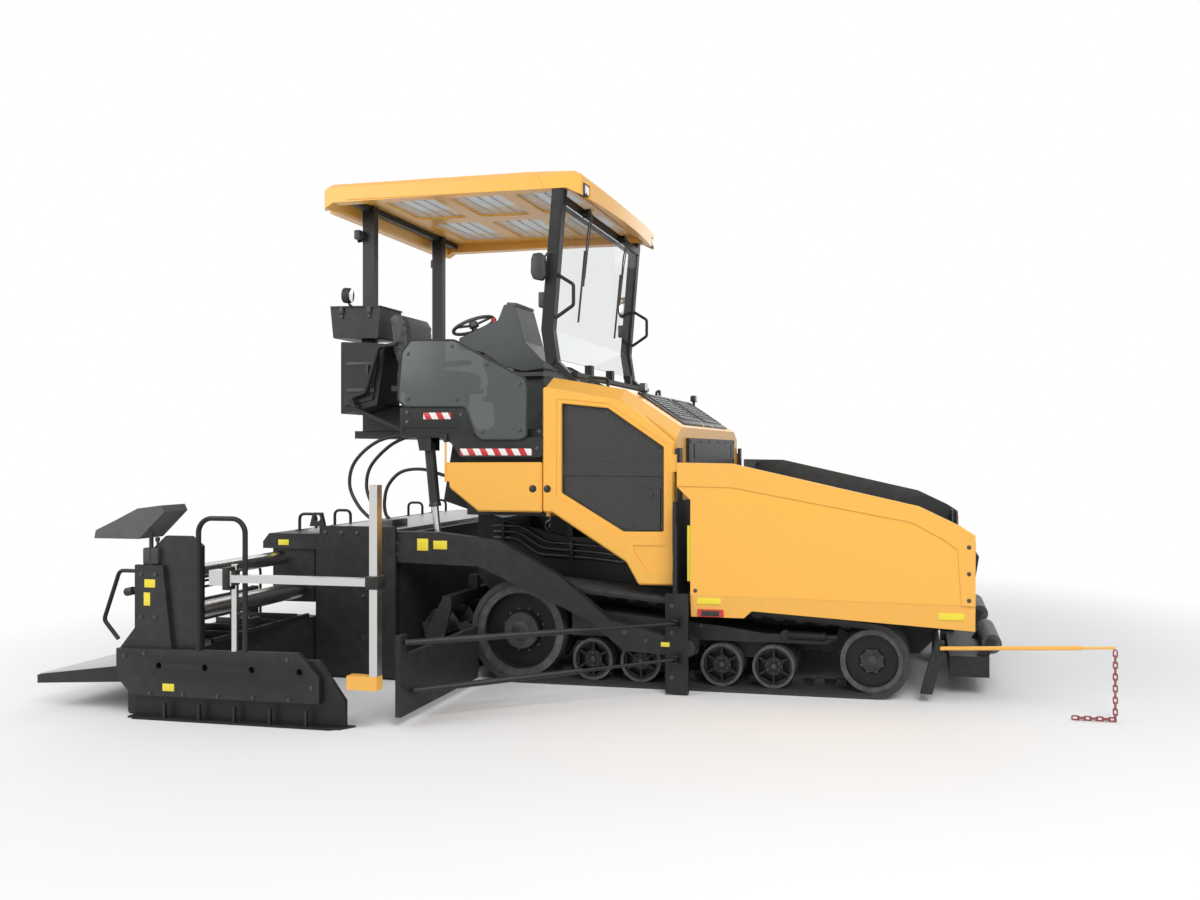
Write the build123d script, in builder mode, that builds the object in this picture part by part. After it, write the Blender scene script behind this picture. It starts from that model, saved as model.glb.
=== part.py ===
"""Asphalt paver on rubber tracks, with a hopper in front and a floating screed behind.

Frame: +X forward, +Y left, +Z up, millimetres. The ground is z = 0, and x = 0, y = 0 is the
middle of the machine's box. Outlines are lists of (x, z), (y, z) or (x, y) corners.
"""

from build123d import *
from math import atan2, cos, degrees, hypot, pi, radians, sin
import os

os.makedirs("parts", exist_ok=True)

# ---------------------------------------------------------------- driving dimensions
gap = 0.3                    # seat clearance between pieces of different bodies
running_gap = 1.0            # clearance round pins, tubes and shafts
tip_front = 3360.0           # guide rod tip
tip_rear = -3360.0           # rear edge of the walkways

# tracks
belt_inner_y = 800.0
belt_width = 350.0
belt_thickness = 40.0
drive_x = -605.0
drive_radius = 325.0
idler_x = 1871.0
idler_radius = 210.0
road_wheel_radius = 145.0
road_wheel_xs = (-66.0, 282.0, 854.0, 1212.0)
lug_pitch = 148.0
lug_height = 45.0
lug_base = 95.0
lug_thickness = 56.0
wheel_width = 125.0
wheel_slot = 75.0            # groove between the twin rims, where the lugs run

# tractor
frame_plate_y = 700.0        # inner faces of the two side plates
frame_plate = 40.0
hood_rear_x = -420.0
hood_front_x = 560.0
hood_skin = 25.0
hood_rear_z = 2174.0
hood_break_x = 127.0
hood_break_z = 2082.0
hood_front_z = 1812.0
hood_shoulder = 75.0         # drop of the hood's chamfered shoulders
deck_z = 1800.0              # top of the operator platform
deck_half_width = 1150.0
deck_side = 50.0             # thickness of the deck's side plates
door_outer_y = deck_half_width + 10
door_thickness = 40.0
door_bevel = 12.0

# hopper
wing_outer_y = 1270.0
wing_skin = 20.0
wing_rear_x = 575.0
wing_front_x = 2530.0
wing_hinge_y = 610.0
wing_hinge_z = 720.0
wing_hinge_radius = 28.0
apron_hinge_x = 2545.0
apron_hinge_z = 640.0
push_pivot_x = 2400.0
push_pivot_z = 210.0
roller_x = 2660.0
roller_z = 345.0
roller_radius = 65.0

# tow arms, tow points and the screed
arm_inner_y = 1180.0
arm_thickness = 60.0
tow_pin_x = 650.0
tow_pin_z = 320.0
tow_pin_radius = 35.0
screed_half_width = 1265.0
end_plate = 25.0
lifting_eye_radius = 25.0
screed_front_x = -1500.0
screed_rear_x = -2130.0
screed_plate_z = 12.0
extension_rear_x = -2690.0
extension_reach = 1050.0
gate_outer_y = screed_half_width + extension_reach + 95
gate_thickness = 30.0
upper_tube = (-2430.0, 860.0)
lower_tube = (-2250.0, 640.0)
upper_tube_radius = 50.0
lower_tube_radius = 60.0
auger_x = -1250.0
auger_z = 300.0
auger_radius = 190.0
auger_shaft_radius = 45.0

# lift cylinders
lift_y = deck_half_width - 70
lift_top = (-1335.0, 1690.0)
lift_foot = (-1260.0, 930.0)
lift_pin_radius = 20.0
lift_bore_slack = 27.0
barrel_radius = 38.0
rod_radius = 24.0
barrel_length = 450.0

# canopy
roof_rear_x = -2330.0
roof_front_x = -155.0
roof_half_width = 970.0
roof_top_z = 3690.0
roof_cavity_z = roof_top_z - 90
roof_skirt = 90.0            # width of the box section along the roof's edges
front_post_y = 930.0
rear_post_y = 550.0

SIDES = (("right", -1), ("left", 1))


# ---------------------------------------------------------------- helpers
def block(x0, x1, y0, y1, z0, z1, mode=Mode.ADD):
    """A box between two corners, in the open part."""
    with Locations(((x0 + x1) / 2, (y0 + y1) / 2, (z0 + z1) / 2)):
        Box(abs(x1 - x0), abs(y1 - y0), abs(z1 - z0), mode=mode)


def slab_y(outline, y0, y1, corner=0, mode=Mode.ADD):
    """An (x, z) outline, its corners rounded if asked, extruded between two Y planes."""
    low, high = sorted((y0, y1))
    with BuildSketch(Plane.XZ.offset(-high)) as face:
        with BuildLine():
            if corner:
                FilletPolyline(*outline, radius=corner, close=True)
            else:
                Polyline(*outline, close=True)
        make_face()
    extrude(face.sketch, amount=high - low, mode=mode)


def slab_x(outline, x0, x1, mode=Mode.ADD):
    """A (y, z) outline, extruded between two X planes."""
    low, high = sorted((x0, x1))
    with BuildSketch(Plane.YZ.offset(low)) as face:
        with BuildLine():
            Polyline(*outline, close=True)
        make_face()
    extrude(face.sketch, amount=high - low, mode=mode)


def slab_z(outline, z0, z1, mode=Mode.ADD):
    """An (x, y) outline, extruded between two Z planes."""
    with BuildSketch(Plane.XY.offset(z0)) as face:
        with BuildLine():
            Polyline(*outline, close=True)
        make_face()
    extrude(face.sketch, amount=z1 - z0, mode=mode)


def rod(start, end, radius, mode=Mode.ADD):
    """A round bar from one point to another."""
    axis = Vector(*end) - Vector(*start)
    with BuildSketch(Plane(origin=start, z_dir=axis)) as disc:
        Circle(radius)
    extrude(disc.sketch, amount=axis.length, mode=mode)


def pipe(points, radius, bend):
    """A bent tube through points, with the same bend radius at each corner."""
    with BuildLine() as path:
        FilletPolyline(*points, radius=bend)
    with BuildSketch(Plane(origin=path.line @ 0, z_dir=path.line % 0)) as disc:
        Circle(radius)
    sweep(disc.sketch, path=path.line)


def save(builder, name):
    """Label one finished piece and write it."""
    builder.part.label = name
    export_step(builder.part, f"parts/{name}.step")


# ---------------------------------------------------------------- tracks
belt_outer_y = belt_inner_y + belt_width
belt_mid_y = belt_inner_y + belt_width / 2
drive_z = drive_radius + belt_thickness
idler_z = idler_radius + belt_thickness
road_wheel_z = road_wheel_radius + belt_thickness
span_x = idler_x - drive_x
tilt = atan2(idler_z - drive_z, span_x)                      # of the line of centres


def belt_stations():
    """(x, z, angle) for each guide lug on the inside of the belt, angle of its inward normal."""
    run = hypot(span_x, drive_z - idler_z)
    run = (run ** 2 - (drive_radius - idler_radius) ** 2) ** 0.5
    upper_normal = pi / 2 + 2 * tilt
    front_arc = idler_radius * (upper_normal + pi / 2)
    rear_arc = drive_radius * (3 * pi / 2 - upper_normal)
    total = 2 * run + front_arc + rear_arc
    count = int(total / lug_pitch)
    stations = []
    for index in range(count):
        s = index * total / count
        if s < run:                                          # lower run, rear to front
            stations.append((drive_x + s, belt_thickness, -pi / 2))
        elif s < run + front_arc:                            # round the idler
            a = -pi / 2 + (s - run) / idler_radius
            stations.append((idler_x + idler_radius * cos(a), idler_z + idler_radius * sin(a), a))
        elif s < 2 * run + front_arc:                        # upper run, front to rear
            t = s - run - front_arc
            a = upper_normal
            x = idler_x + idler_radius * cos(a) - t * sin(a)
            z = idler_z + idler_radius * sin(a) + t * cos(a)
            stations.append((x, z, a))
        else:                                                # round the drive wheel
            a = upper_normal + (s - 2 * run - front_arc) / drive_radius
            stations.append((drive_x + drive_radius * cos(a), drive_z + drive_radius * sin(a), a))
    return stations


for side, s in SIDES:
    with BuildPart() as track:
        with BuildSketch(Plane.XZ.offset(-max(s * belt_inner_y, s * belt_outer_y))):
            with Locations((drive_x, drive_z)):
                Circle(drive_radius + belt_thickness)
            with Locations((idler_x, idler_z)):
                Circle(idler_radius + belt_thickness)
            make_hull()
            offset(amount=-belt_thickness, mode=Mode.SUBTRACT)
        extrude(amount=belt_width)
        with BuildSketch(Plane.XZ.offset(-(s * belt_mid_y + lug_thickness / 2))):
            for x, z, angle in belt_stations():
                root = belt_thickness / 4                    # how deep the lug is rooted in the belt
                depth = lug_height + root
                cx = x - (depth / 2 - root) * cos(angle)
                cz = z - (depth / 2 - root) * sin(angle)
                with Locations(Location((cx, cz, 0), (0, 0, degrees(angle) + 90))):
                    Trapezoid(lug_base, depth, 72)
        extrude(amount=lug_thickness)
    save(track, f"track_{side}")


wheel_inner_y = belt_mid_y - wheel_slot / 2 - wheel_width


def twin_wheel(x, z, radius, hub_radius, rim, dish, s):
    """Two rims on one hub, with a groove for the lugs and a dished outer face."""
    inner = wheel_inner_y
    outer = belt_mid_y + wheel_slot / 2 + wheel_width
    groove = radius - lug_height - 20
    profile = [
        (0, inner), (radius, inner), (radius, inner + wheel_width), (groove, inner + wheel_width),
        (groove, outer - wheel_width), (radius, outer - wheel_width), (radius, outer),
        (radius - rim, outer), (radius - rim - 5, outer - dish), (hub_radius + 12, outer - dish),
        (hub_radius, outer - 12), (0, outer - 12),
    ]
    with BuildSketch(Plane(origin=(x, 0, z), x_dir=(1, 0, 0), z_dir=(0, 0, 1))) as section:
        with BuildLine():
            Polyline(*[(r, s * y) for r, y in profile], close=True)
        make_face()
    revolve(section.sketch, axis=Axis((x, 0, z), (0, 1, 0)))


def wheel_windows(x, z, count, low, high, rib, depth, s):
    """Pockets between the spokes of a wheel's outer face, each with straight sides."""
    outer = belt_mid_y + wheel_slot / 2 + wheel_width
    for index in range(count):
        corners = []
        for radius, way in ((low, -1), (high, -1), (high, 1), (low, 1)):
            half = pi / count - rib / 2 / radius
            angle = 2 * pi * index / count + way * half
            corners.append((x + radius * cos(angle), z + radius * sin(angle)))
        slab_y(corners, s * (outer - depth), s * (outer + 1), mode=Mode.SUBTRACT)


spokes = 6
for side, s in SIDES:
    with BuildPart() as track_wheels:
        twin_wheel(drive_x, drive_z, drive_radius - gap, 127, 55, 75, s)
        twin_wheel(idler_x, idler_z, idler_radius - gap, 75, 35, 30, s)
        for wheel_x in road_wheel_xs:
            twin_wheel(wheel_x, road_wheel_z, road_wheel_radius - gap, 50, 22, 14, s)
            wheel_windows(wheel_x, road_wheel_z, spokes, 66, road_wheel_radius - 30, 16, 70, s)
    save(track_wheels, f"track_wheels_{side}")

# ---------------------------------------------------------------- track frames
bogie_plate = 50.0           # yoke between the twin rims, above the lugs
frame_out = frame_plate_y + frame_plate
with BuildPart() as track_frames:
    for side, s in SIDES:
        beam_low = road_wheel_z + road_wheel_radius + 12
        slab_y([(-230, beam_low), (1560, beam_low), (1620, 372), (1620, 395), (1150, 402),
                (880, 440), (-150, 530), (-230, 500)], s * 790, s * 1100)
        slab_y([(1480, 350), (1600, 350), (1840, 205), (1915, 215), (1915, 285), (1640, 395),
                (1480, 395)], s * 794, s * (wheel_inner_y - gap))    # idler fork
        for arm_x in (150, 1050):                            # arms to the side plate
            block(arm_x - 90, arm_x + 90, s * frame_out, s * 800, beam_low, 400)
        for first, second in ((0, 1), (2, 3)):
            x0, x1 = road_wheel_xs[first], road_wheel_xs[second]
            mid = (x0 + x1) / 2
            y0 = s * (belt_mid_y - bogie_plate / 2)
            y1 = s * (belt_mid_y + bogie_plate / 2)
            groove = road_wheel_radius - lug_height - 20
            low = road_wheel_z + groove + gap
            slab_y([(mid - 70, beam_low + 5), (x0, beam_low - 10), (x0, low), (x0 + 60, low),
                    (x0 + 95, low - 50), (x1 - 95, low - 50), (x1 - 60, low), (x1, low),
                    (x1, beam_low - 10), (mid + 70, beam_low + 5)], y0, y1)
save(track_frames, "track_frames")


# ---------------------------------------------------------------- tractor chassis
bulkhead_x = 550.0
bulkhead_thickness = 20.0
post_inner_y = arm_inner_y + arm_thickness + 10
post_outer_y = post_inner_y + 35
chassis_rear_x = -1120.0
conveyor_slats = 20
conveyor_pitch = 160.0
tunnel_floor_z = 480.0        # conveyor pan
sill_z = 600.0
push_beam_low, push_beam_high = 130.0, 268.0
tow_lug_zs = (490.0, 250.0)
tow_lug_x = 580.0
tow_lug_y = post_outer_y + 35
door_hinge_x = 541.0
door_hinge_y = door_outer_y - 3
door_hinge_zs = (1560.0, 880.0)
door_knuckle = 7.0
pivot_plate = 25.0
push_pin_radius = 30.0

with BuildPart() as chassis:
    for side, s in SIDES:
        inner, outer = s * frame_plate_y, s * frame_out
        slab_y([(-1000, 260), (-960, 230), (2180, 230), (2280, 330), (2280, sill_z - 10),
                (700, sill_z - 10), (bulkhead_x, 700), (bulkhead_x, 1000), (-420, 1000),
                (chassis_rear_x, 1180), (chassis_rear_x, 700), (-1000, 560)], inner, outer)
        rod((drive_x, s * frame_out, drive_z), (drive_x, s * (wheel_inner_y - gap), drive_z), 150)
        block(700, 2280, s * 570, s * frame_out, sill_z - 10, sill_z)     # sill of the hopper
        for cradle_x in (800, 1560, 2200):                    # hinge cradles of the wing
            block(cradle_x - 60, cradle_x + 60, s * (wing_hinge_y - 25), s * (wing_hinge_y + 25),
                  sill_z, wing_hinge_z - wing_hinge_radius - gap)
save(chassis, "chassis")

floor_half = frame_plate_y - gap
with BuildPart() as conveyor_floor:
    block(-960, 2280 - gap, -floor_half, floor_half, tunnel_floor_z - 10, tunnel_floor_z)
    slab_y([(-420, 1180), (-380, 1180), (-380, 730), (bulkhead_x, 730), (bulkhead_x, 700), (-420, 700)],
           -floor_half, floor_half)                           # tunnel roof and engine firewall
save(conveyor_floor, "conveyor_floor")

with BuildPart() as front_crossmember:
    block(2280 + gap, 2310, -1210, 1210, 330, 400)
    block(2280 + gap, 2310, -frame_out, frame_out, 310, 600)
    for s in (-1, 1):
        slab_y([(2280 + gap, 400), (2340, 400), (2340, 330), (2262, 60), (2186, 60)],
               s * 1100, s * 1180)                            # track scraper
        block(2310, apron_hinge_x + 12, s * 300 - 20, s * 300 + 20, 520,
              apron_hinge_z - 16 - gap)                       # apron hinge bracket
    for low in (push_beam_low - pivot_plate - 5, push_beam_high + 5):
        block(2280 + gap, push_pivot_x + 45, -70, 70, low, low + pivot_plate)
    block(2280 + gap, 2310, -70, 70, push_beam_low - pivot_plate - 5, 330)
    rod((push_pivot_x, 0, push_beam_low - pivot_plate - 5),
        (push_pivot_x, 0, push_beam_high + 5 + pivot_plate), push_pin_radius)
save(front_crossmember, "front_crossmember")

with BuildPart() as tow_posts:
    for side, s in SIDES:
        block(bulkhead_x, bulkhead_x + bulkhead_thickness, s * (frame_out + gap), s * post_outer_y,
              655, 1300)
        block(bulkhead_x, bulkhead_x + bulkhead_thickness, s * 1090, s * (door_hinge_y + 6), 1300, 1665)
        block(498, 655, s * post_inner_y, s * post_outer_y, 10, 680)
        block(bulkhead_x + bulkhead_thickness, bulkhead_x + bulkhead_thickness + 8,
              s * (post_outer_y - 40), s * post_outer_y, 680, 1144)      # scale strip carrier
        rod((tow_pin_x, s * post_inner_y, tow_pin_z), (tow_pin_x, s * (arm_inner_y - 8), tow_pin_z),
            tow_pin_radius)
        rod((tow_pin_x, s * post_inner_y, tow_pin_z), (tow_pin_x, s * post_outer_y, tow_pin_z),
            tow_pin_radius + 20)
        for z in tow_lug_zs:
            for flange in (-28, 16):
                block(tow_lug_x - 25, tow_lug_x + 25, s * post_outer_y, s * (tow_lug_y + 22),
                      z + flange, z + flange + 12)
            rod((tow_lug_x, s * tow_lug_y, z - 28), (tow_lug_x, s * tow_lug_y, z + 28), 9)
        for z in door_hinge_zs:                               # knuckles above each door knuckle
            rod((door_hinge_x, s * door_hinge_y, z + 60 + gap),
                (door_hinge_x, s * door_hinge_y, z + 100), door_knuckle)
            block(door_hinge_x, bulkhead_x, s * (door_hinge_y - 6), s * (door_hinge_y + 6),
                  z + 60 + gap, z + 100)
save(tow_posts, "tow_posts")

# material limiter plates beside the auger, each held by two braces
limiter_end_y = gate_outer_y - 110
limiter_x = -870.0
brace_ends = ((-850.0, limiter_end_y - 30, 500.0), (-850.0, limiter_end_y - 130, 190.0))
with BuildPart() as limiter_plates:
    for side, s in SIDES:
        slab_z([(-1030, s * (frame_out + gap)), (-990, s * (frame_out + gap)), (-990, s * 1195),
                (limiter_x + 20, s * 1290),
                (limiter_x + 20, s * limiter_end_y), (limiter_x - 15, s * limiter_end_y),
                (limiter_x - 15, s * 1310), (-1030, s * 1215)], 60, 420)
        block(limiter_x - 15, limiter_x + 20, s * (limiter_end_y - 70), s * limiter_end_y, 420, 545)
save(limiter_plates, "limiter_plates")
with BuildPart() as braces:
    for side, s in SIDES:
        for (end_x, end_y, end_z), lug_z in zip(brace_ends, tow_lug_zs):
            start = Vector(tow_lug_x, s * tow_lug_y, lug_z)
            finish = Vector(end_x + 12, s * end_y, end_z)
            way = (finish - start).normalized()
            joint = start + (finish - start) * 0.38
            rod(tuple(start + way * (9 + gap)), tuple(joint), 11)
            rod(tuple(joint), tuple(finish), 19)
save(braces, "braces")

with BuildPart() as engine_block:
    block(-330, 430, -380, 380, 730 + gap, 1480)
save(engine_block, "engine_block")

# ---------------------------------------------------------------- conveyors and augers
with BuildPart() as conveyor:
    for y0, y1 in ((-555, -30), (30, 555)):
        for y in (y0 + 30, y1 - 30):                                  # drag chains
            block(-900, 2230, y - 12, y + 12, tunnel_floor_z, tunnel_floor_z + 26)
        for index in range(conveyor_slats):
            x = -880 + index * conveyor_pitch
            block(x, x + 40, y0, y1, tunnel_floor_z, tunnel_floor_z + 35)
save(conveyor, "conveyor")

beam_z = 520.0
with BuildPart() as auger_beam:
    block(-1190, chassis_rear_x, -1165, 1165, beam_z, beam_z + 80)
    block(-1190, chassis_rear_x, -frame_plate_y - 60, -frame_plate_y, beam_z + 80, 700)
    block(-1190, chassis_rear_x, frame_plate_y, frame_plate_y + 60, beam_z + 80, 700)
    for y in (-1160, 0, 1160):
        half = 40 if y == 0 else 6
        slab_y([(auger_x - 60, auger_z - 60), (auger_x + 60, auger_z - 60), (chassis_rear_x, beam_z),
                (chassis_rear_x, beam_z + 60), (-1190, beam_z + 60), (auger_x - 60, auger_z + 60)],
               y - half, y + half)
save(auger_beam, "auger_beam")

flight_pitch = 256.0
flight_steps = 8             # flat plates to one turn of a flight
flight_turns = 4
flight_start = 85.0          # middle of the first plate, clear of the middle hanger
flight_root = auger_shaft_radius - 3
flight_tip = auger_radius - 12
for side, s in SIDES:
    with BuildPart() as auger:
        rod((auger_x, s * (40 + gap), auger_z), (auger_x, s * (1154 - gap), auger_z),
            auger_shaft_radius)
        step = 2 * pi / flight_steps
        lean = atan2(flight_pitch, 2 * pi * 0.6 * flight_tip)
        for index in range(flight_steps * flight_turns):
            angle = s * index * step
            radial = Vector(cos(angle), 0, sin(angle))
            along = Vector(-sin(angle), 0, cos(angle))
            axis = Vector(0, cos(lean), 0) - along * sin(lean)
            centre = (auger_x, s * (flight_start + flight_pitch * index / flight_steps), auger_z)
            half = 1.15 * step / 2
            with BuildSketch(Plane(origin=centre, x_dir=radial, z_dir=axis)) as blade:
                with BuildLine():
                    Polyline((flight_root, -flight_root * half), (flight_tip, -flight_tip * half),
                             (flight_tip, flight_tip * half), (flight_root, flight_root * half),
                             close=True)
                make_face()
            extrude(blade.sketch, amount=7, both=True)
    save(auger, f"auger_{side}")

# ---------------------------------------------------------------- hood and doors
hood_inner_y = door_outer_y - door_thickness - 10
hood_flat_y = 970.0          # half width of the flat top, inside the shoulders
hood_face_x = 535.0
hood_base_z = 1180 + gap


def hood_profile(y, drop, skin):
    """The hood's long section at one width, lower by a drop and smaller by a skin."""
    slope = (hood_break_z - hood_front_z) / (hood_face_x - hood_break_x)
    x_rear = hood_rear_x + skin
    x_front = hood_face_x - skin
    return [(x_rear, y, hood_base_z - skin), (x_rear, y, hood_rear_z - drop - skin),
            (hood_break_x, y, hood_break_z - drop - skin),
            (x_front, y, hood_front_z - drop - skin + slope * skin * 0.4),
            (x_front, y, hood_base_z - skin)]


def hood_body(flat_y, edge_y, skin, mode):
    """A block with the hood's section, its shoulders lowered towards the edges."""
    for y0, drop0, y1, drop1 in ((-flat_y, 0, flat_y, 0), (flat_y, 0, edge_y, hood_shoulder),
                                 (-edge_y, hood_shoulder, -flat_y, 0)):
        faces = []
        for y, drop in ((y0, drop0), (y1, drop1)):
            wire = Wire.make_polygon(hood_profile(y, drop, skin), close=True)
            faces.append(Face(wire))
        loft(faces, ruled=True, mode=mode)


with BuildPart() as hood:
    hood_body(hood_flat_y, hood_inner_y, 0, Mode.ADD)
    hood_body(hood_flat_y - 8, hood_inner_y + 1, hood_skin, Mode.SUBTRACT)
    for y in (-160, 160):                                     # ribs of the black top panel
        slab_y([(150, hood_break_z - 16), (510, 1829), (510, 1844), (150, hood_break_z - 1)],
               y - 12, y + 12)
save(hood, "hood")

with BuildPart() as hood_front_plate:
    block(hood_face_x + gap, hood_front_x, -850, 850, 1500, hood_front_z - hood_shoulder)
    for s in (-1, 1):
        with BuildSketch(Plane.YZ.offset(hood_face_x)) as slot:
            with Locations((s * 700, 1640)):
                SlotOverall(120, 34, rotation=90)
        extrude(slot.sketch, amount=60, mode=Mode.SUBTRACT)
save(hood_front_plate, "hood_front_plate")

door_front_x = 526.0
panel_hinge_x = -1168.0
panel_pin_z = 1706.0
latch_radius = 28.0
door_outline = [(-430, 2098), (110, 2004), (215, 1962), (door_front_x, 1706), (door_front_x, 720),
                (272, 716), (182, 872), (-358, 1208), (-430, 1212)]
window_outline = [(-293, 1978), (50, 1941), (450, 1671), (450, 1086), (160, 1083), (-293, 1348)]
border_outline = [(-327, 2012), (62, 1974), (484, 1690), (484, 1052), (150, 1049), (-327, 1330)]
trapezoid_outline = [(236, 992), (471, 992), (468, 818), (327, 816), (236, 962)]
panel_outline = [(-1174, 1560), (-1138, 1376), (-920, 1210), (-438, 1210), (-438, 1564)]
for side, s in SIDES:
    y0, y1 = s * (door_outer_y - door_thickness), s * door_outer_y
    with BuildPart() as engine_door:
        slab_y(door_outline, y0, y1, corner=20)
        slab_y(window_outline, y0, y1, corner=14, mode=Mode.SUBTRACT)
        outer_face = engine_door.faces().sort_by(Axis.Y)[-1 if s > 0 else 0]
        chamfer(outer_face.edges(), door_bevel)
        slab_y(border_outline, s * (door_outer_y - 6), y1, corner=12, mode=Mode.SUBTRACT)
        slab_y(trapezoid_outline, s * (door_outer_y - 8), y1, corner=8, mode=Mode.SUBTRACT)
        rod((-394, s * (door_outer_y - 8), 1376), (-394, s * (door_outer_y + 1), 1376), latch_radius,
            mode=Mode.SUBTRACT)
        rod((-394, s * (door_outer_y - 12), 1376), (-394, s * (door_outer_y - 2), 1376), 11)
        for z in door_hinge_zs:
            rod((door_hinge_x, s * door_hinge_y, z - 60), (door_hinge_x, s * door_hinge_y, z + 60),
                door_knuckle)
            block(door_front_x - 15, door_hinge_x, s * (door_hinge_y - 25), s * (door_hinge_y + 3),
                  z - 60, z + 60)
    save(engine_door, f"engine_door_{side}")
    sheet_y = s * (door_outer_y - door_thickness)
    with BuildPart() as door_grille:
        slab_y([(-320, 2000), (60, 1965), (475, 1695), (475, 1062), (165, 1058), (-320, 1355)],
               s * (door_outer_y - door_thickness - 4), sheet_y)
        block(-292, 449, sheet_y, sheet_y + s * 8, 1470, 1567)            # stiffening band
        block(261, 420, sheet_y, sheet_y + s * 10, 1095, 1381)            # access panel
        rod((360, sheet_y, 1335), (360, sheet_y + s * 22, 1335), 12)
    save(door_grille, f"door_grille_{side}")
    with BuildPart() as rear_panel:
        slab_y(panel_outline, y0, y1, corner=16)
        outer_face = rear_panel.faces().sort_by(Axis.Y)[-1 if s > 0 else 0]
        chamfer(outer_face.edges(), door_bevel)
        rod((-502, s * (door_outer_y - 8), 1376), (-502, s * (door_outer_y + 1), 1376), latch_radius,
            mode=Mode.SUBTRACT)
        rod((-502, s * (door_outer_y - 12), 1376), (-502, s * (door_outer_y - 2), 1376), 11)
        rod((panel_hinge_x, s * door_hinge_y, 1420), (panel_hinge_x, s * door_hinge_y, panel_pin_z),
            door_knuckle)
        block(panel_hinge_x, -1130, s * (door_hinge_y - 25), s * (door_hinge_y), 1425, 1545)
    save(rear_panel, f"rear_panel_{side}")

# ---------------------------------------------------------------- hopper
wing_band = 8.0              # how far the pressed upper band stands proud of the skin
wing_face_y = wing_outer_y - wing_band
wing_inner_y = wing_face_y - wing_skin
wing_tuck = 34.0             # how far the lower band leans in under the fold
wing_outline = [(wing_rear_x, 1565), (947, 1560), (2180, 1286), (2436, 1164), (wing_front_x, 1104),
                (wing_front_x, 655), (666, 680), (666, 1314), (wing_rear_x, 1400)]
wing_band_outline = [(wing_rear_x, 1565), (947, 1560), (2180, 1286), (2436, 1164),
                     (wing_front_x, 1104), (wing_front_x, 655), (2445, 657), (2420, 1016),
                     (2331, 1078), (2133, 1185), (955, 1401), (wing_rear_x, 1408)]
for side, s in SIDES:
    with BuildPart() as wing:
        slab_x([(s * wing_face_y, 682), (s * wing_inner_y, 682), (s * (wing_inner_y - wing_tuck), 440),
                (s * (wing_face_y - wing_tuck), 440)], 666, wing_front_x)
        slab_y([(600, 300), (600, 526), (1027, 526), (1083, 576), (2600, 484), (2600, 300)],
               s * 1100, s * 1300, mode=Mode.SUBTRACT)        # lower edge, over the track
        slab_y(wing_outline, s * wing_inner_y, s * wing_face_y)
        slab_y(wing_band_outline, s * wing_inner_y, s * wing_outer_y)
        slab_x([(s * wing_hinge_y, 740), (s * wing_hinge_y, 715), (s * wing_inner_y, 780),
                (s * wing_inner_y, 805)], 700, 2500)
        rod((700, s * wing_hinge_y, wing_hinge_z), (2500, s * wing_hinge_y, wing_hinge_z),
            wing_hinge_radius)
        for x, top in ((700, 1540), (2470, 1120)):                # end walls
            slab_x([(s * (wing_hinge_y + 10), 735), (s * wing_inner_y, 795), (s * wing_inner_y, top),
                    (s * (wing_inner_y - 170), top)], x, x + 12)
        slab_x([(s * (wing_inner_y - 60), 660), (s * wing_inner_y, 660), (s * wing_inner_y, 1104),
                (s * (wing_inner_y - 60), 1104)], wing_front_x - 12, wing_front_x)   # front flange
        for x in (1120, 1560, 2000):                              # stiffeners under the floor
            slab_x([(s * (wing_hinge_y + 60), 722), (s * wing_inner_y, 786), (s * wing_inner_y, 715),
                    (s * 1160, 715)], x, x + 10)
    save(wing, f"hopper_wing_{side}")

with BuildPart() as apron:
    lean = 0.16
    slab_y([(apron_hinge_x - 12, apron_hinge_z + 10), (apron_hinge_x + 4, apron_hinge_z + 10),
            (apron_hinge_x + 4 + 260 * lean, apron_hinge_z + 270),
            (apron_hinge_x - 12 + 260 * lean, apron_hinge_z + 270)], -560, 560)
    for y in (-420, -140, 140, 420):                              # ribs on the front face
        slab_y([(apron_hinge_x + 3, apron_hinge_z + 20), (apron_hinge_x + 28, apron_hinge_z + 30),
                (apron_hinge_x + 24 + 240 * lean, apron_hinge_z + 240),
                (apron_hinge_x + 3 + 260 * lean, apron_hinge_z + 262)], y - 8, y + 8)
    rod((apron_hinge_x, -560, apron_hinge_z), (apron_hinge_x, 560, apron_hinge_z), 16)
save(apron, "hopper_apron")

with BuildPart() as push_beam:
    block(2380, 2640, -950, 950, push_beam_low, push_beam_high)
    block(push_pivot_x - 55, 2400, -150, 150, push_beam_low, push_beam_high)
    with Locations((push_pivot_x, 0, (push_beam_low + push_beam_high) / 2)):
        Cylinder(push_pin_radius + running_gap, 300, mode=Mode.SUBTRACT)
    for s in (-1, 1):
        for y in (290, 910):
            slab_y([(2560, push_beam_high), (2640, push_beam_high), (roller_x + 30, roller_z + 20),
                    (roller_x - 20, roller_z + 35)], s * (y - 8), s * (y + 8))
        rod((roller_x, s * 282, roller_z), (roller_x, s * 918, roller_z), 18)
save(push_beam, "push_beam")

for side, s in SIDES:
    with BuildPart() as push_roller:
        rod((roller_x, s * 304, roller_z), (roller_x, s * 896, roller_z), roller_radius)
        with Locations(Location((roller_x, s * 600, roller_z), (90, 0, 0))):
            Cylinder(18 + running_gap, 700, mode=Mode.SUBTRACT)
    save(push_roller, f"push_roller_{side}")

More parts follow.
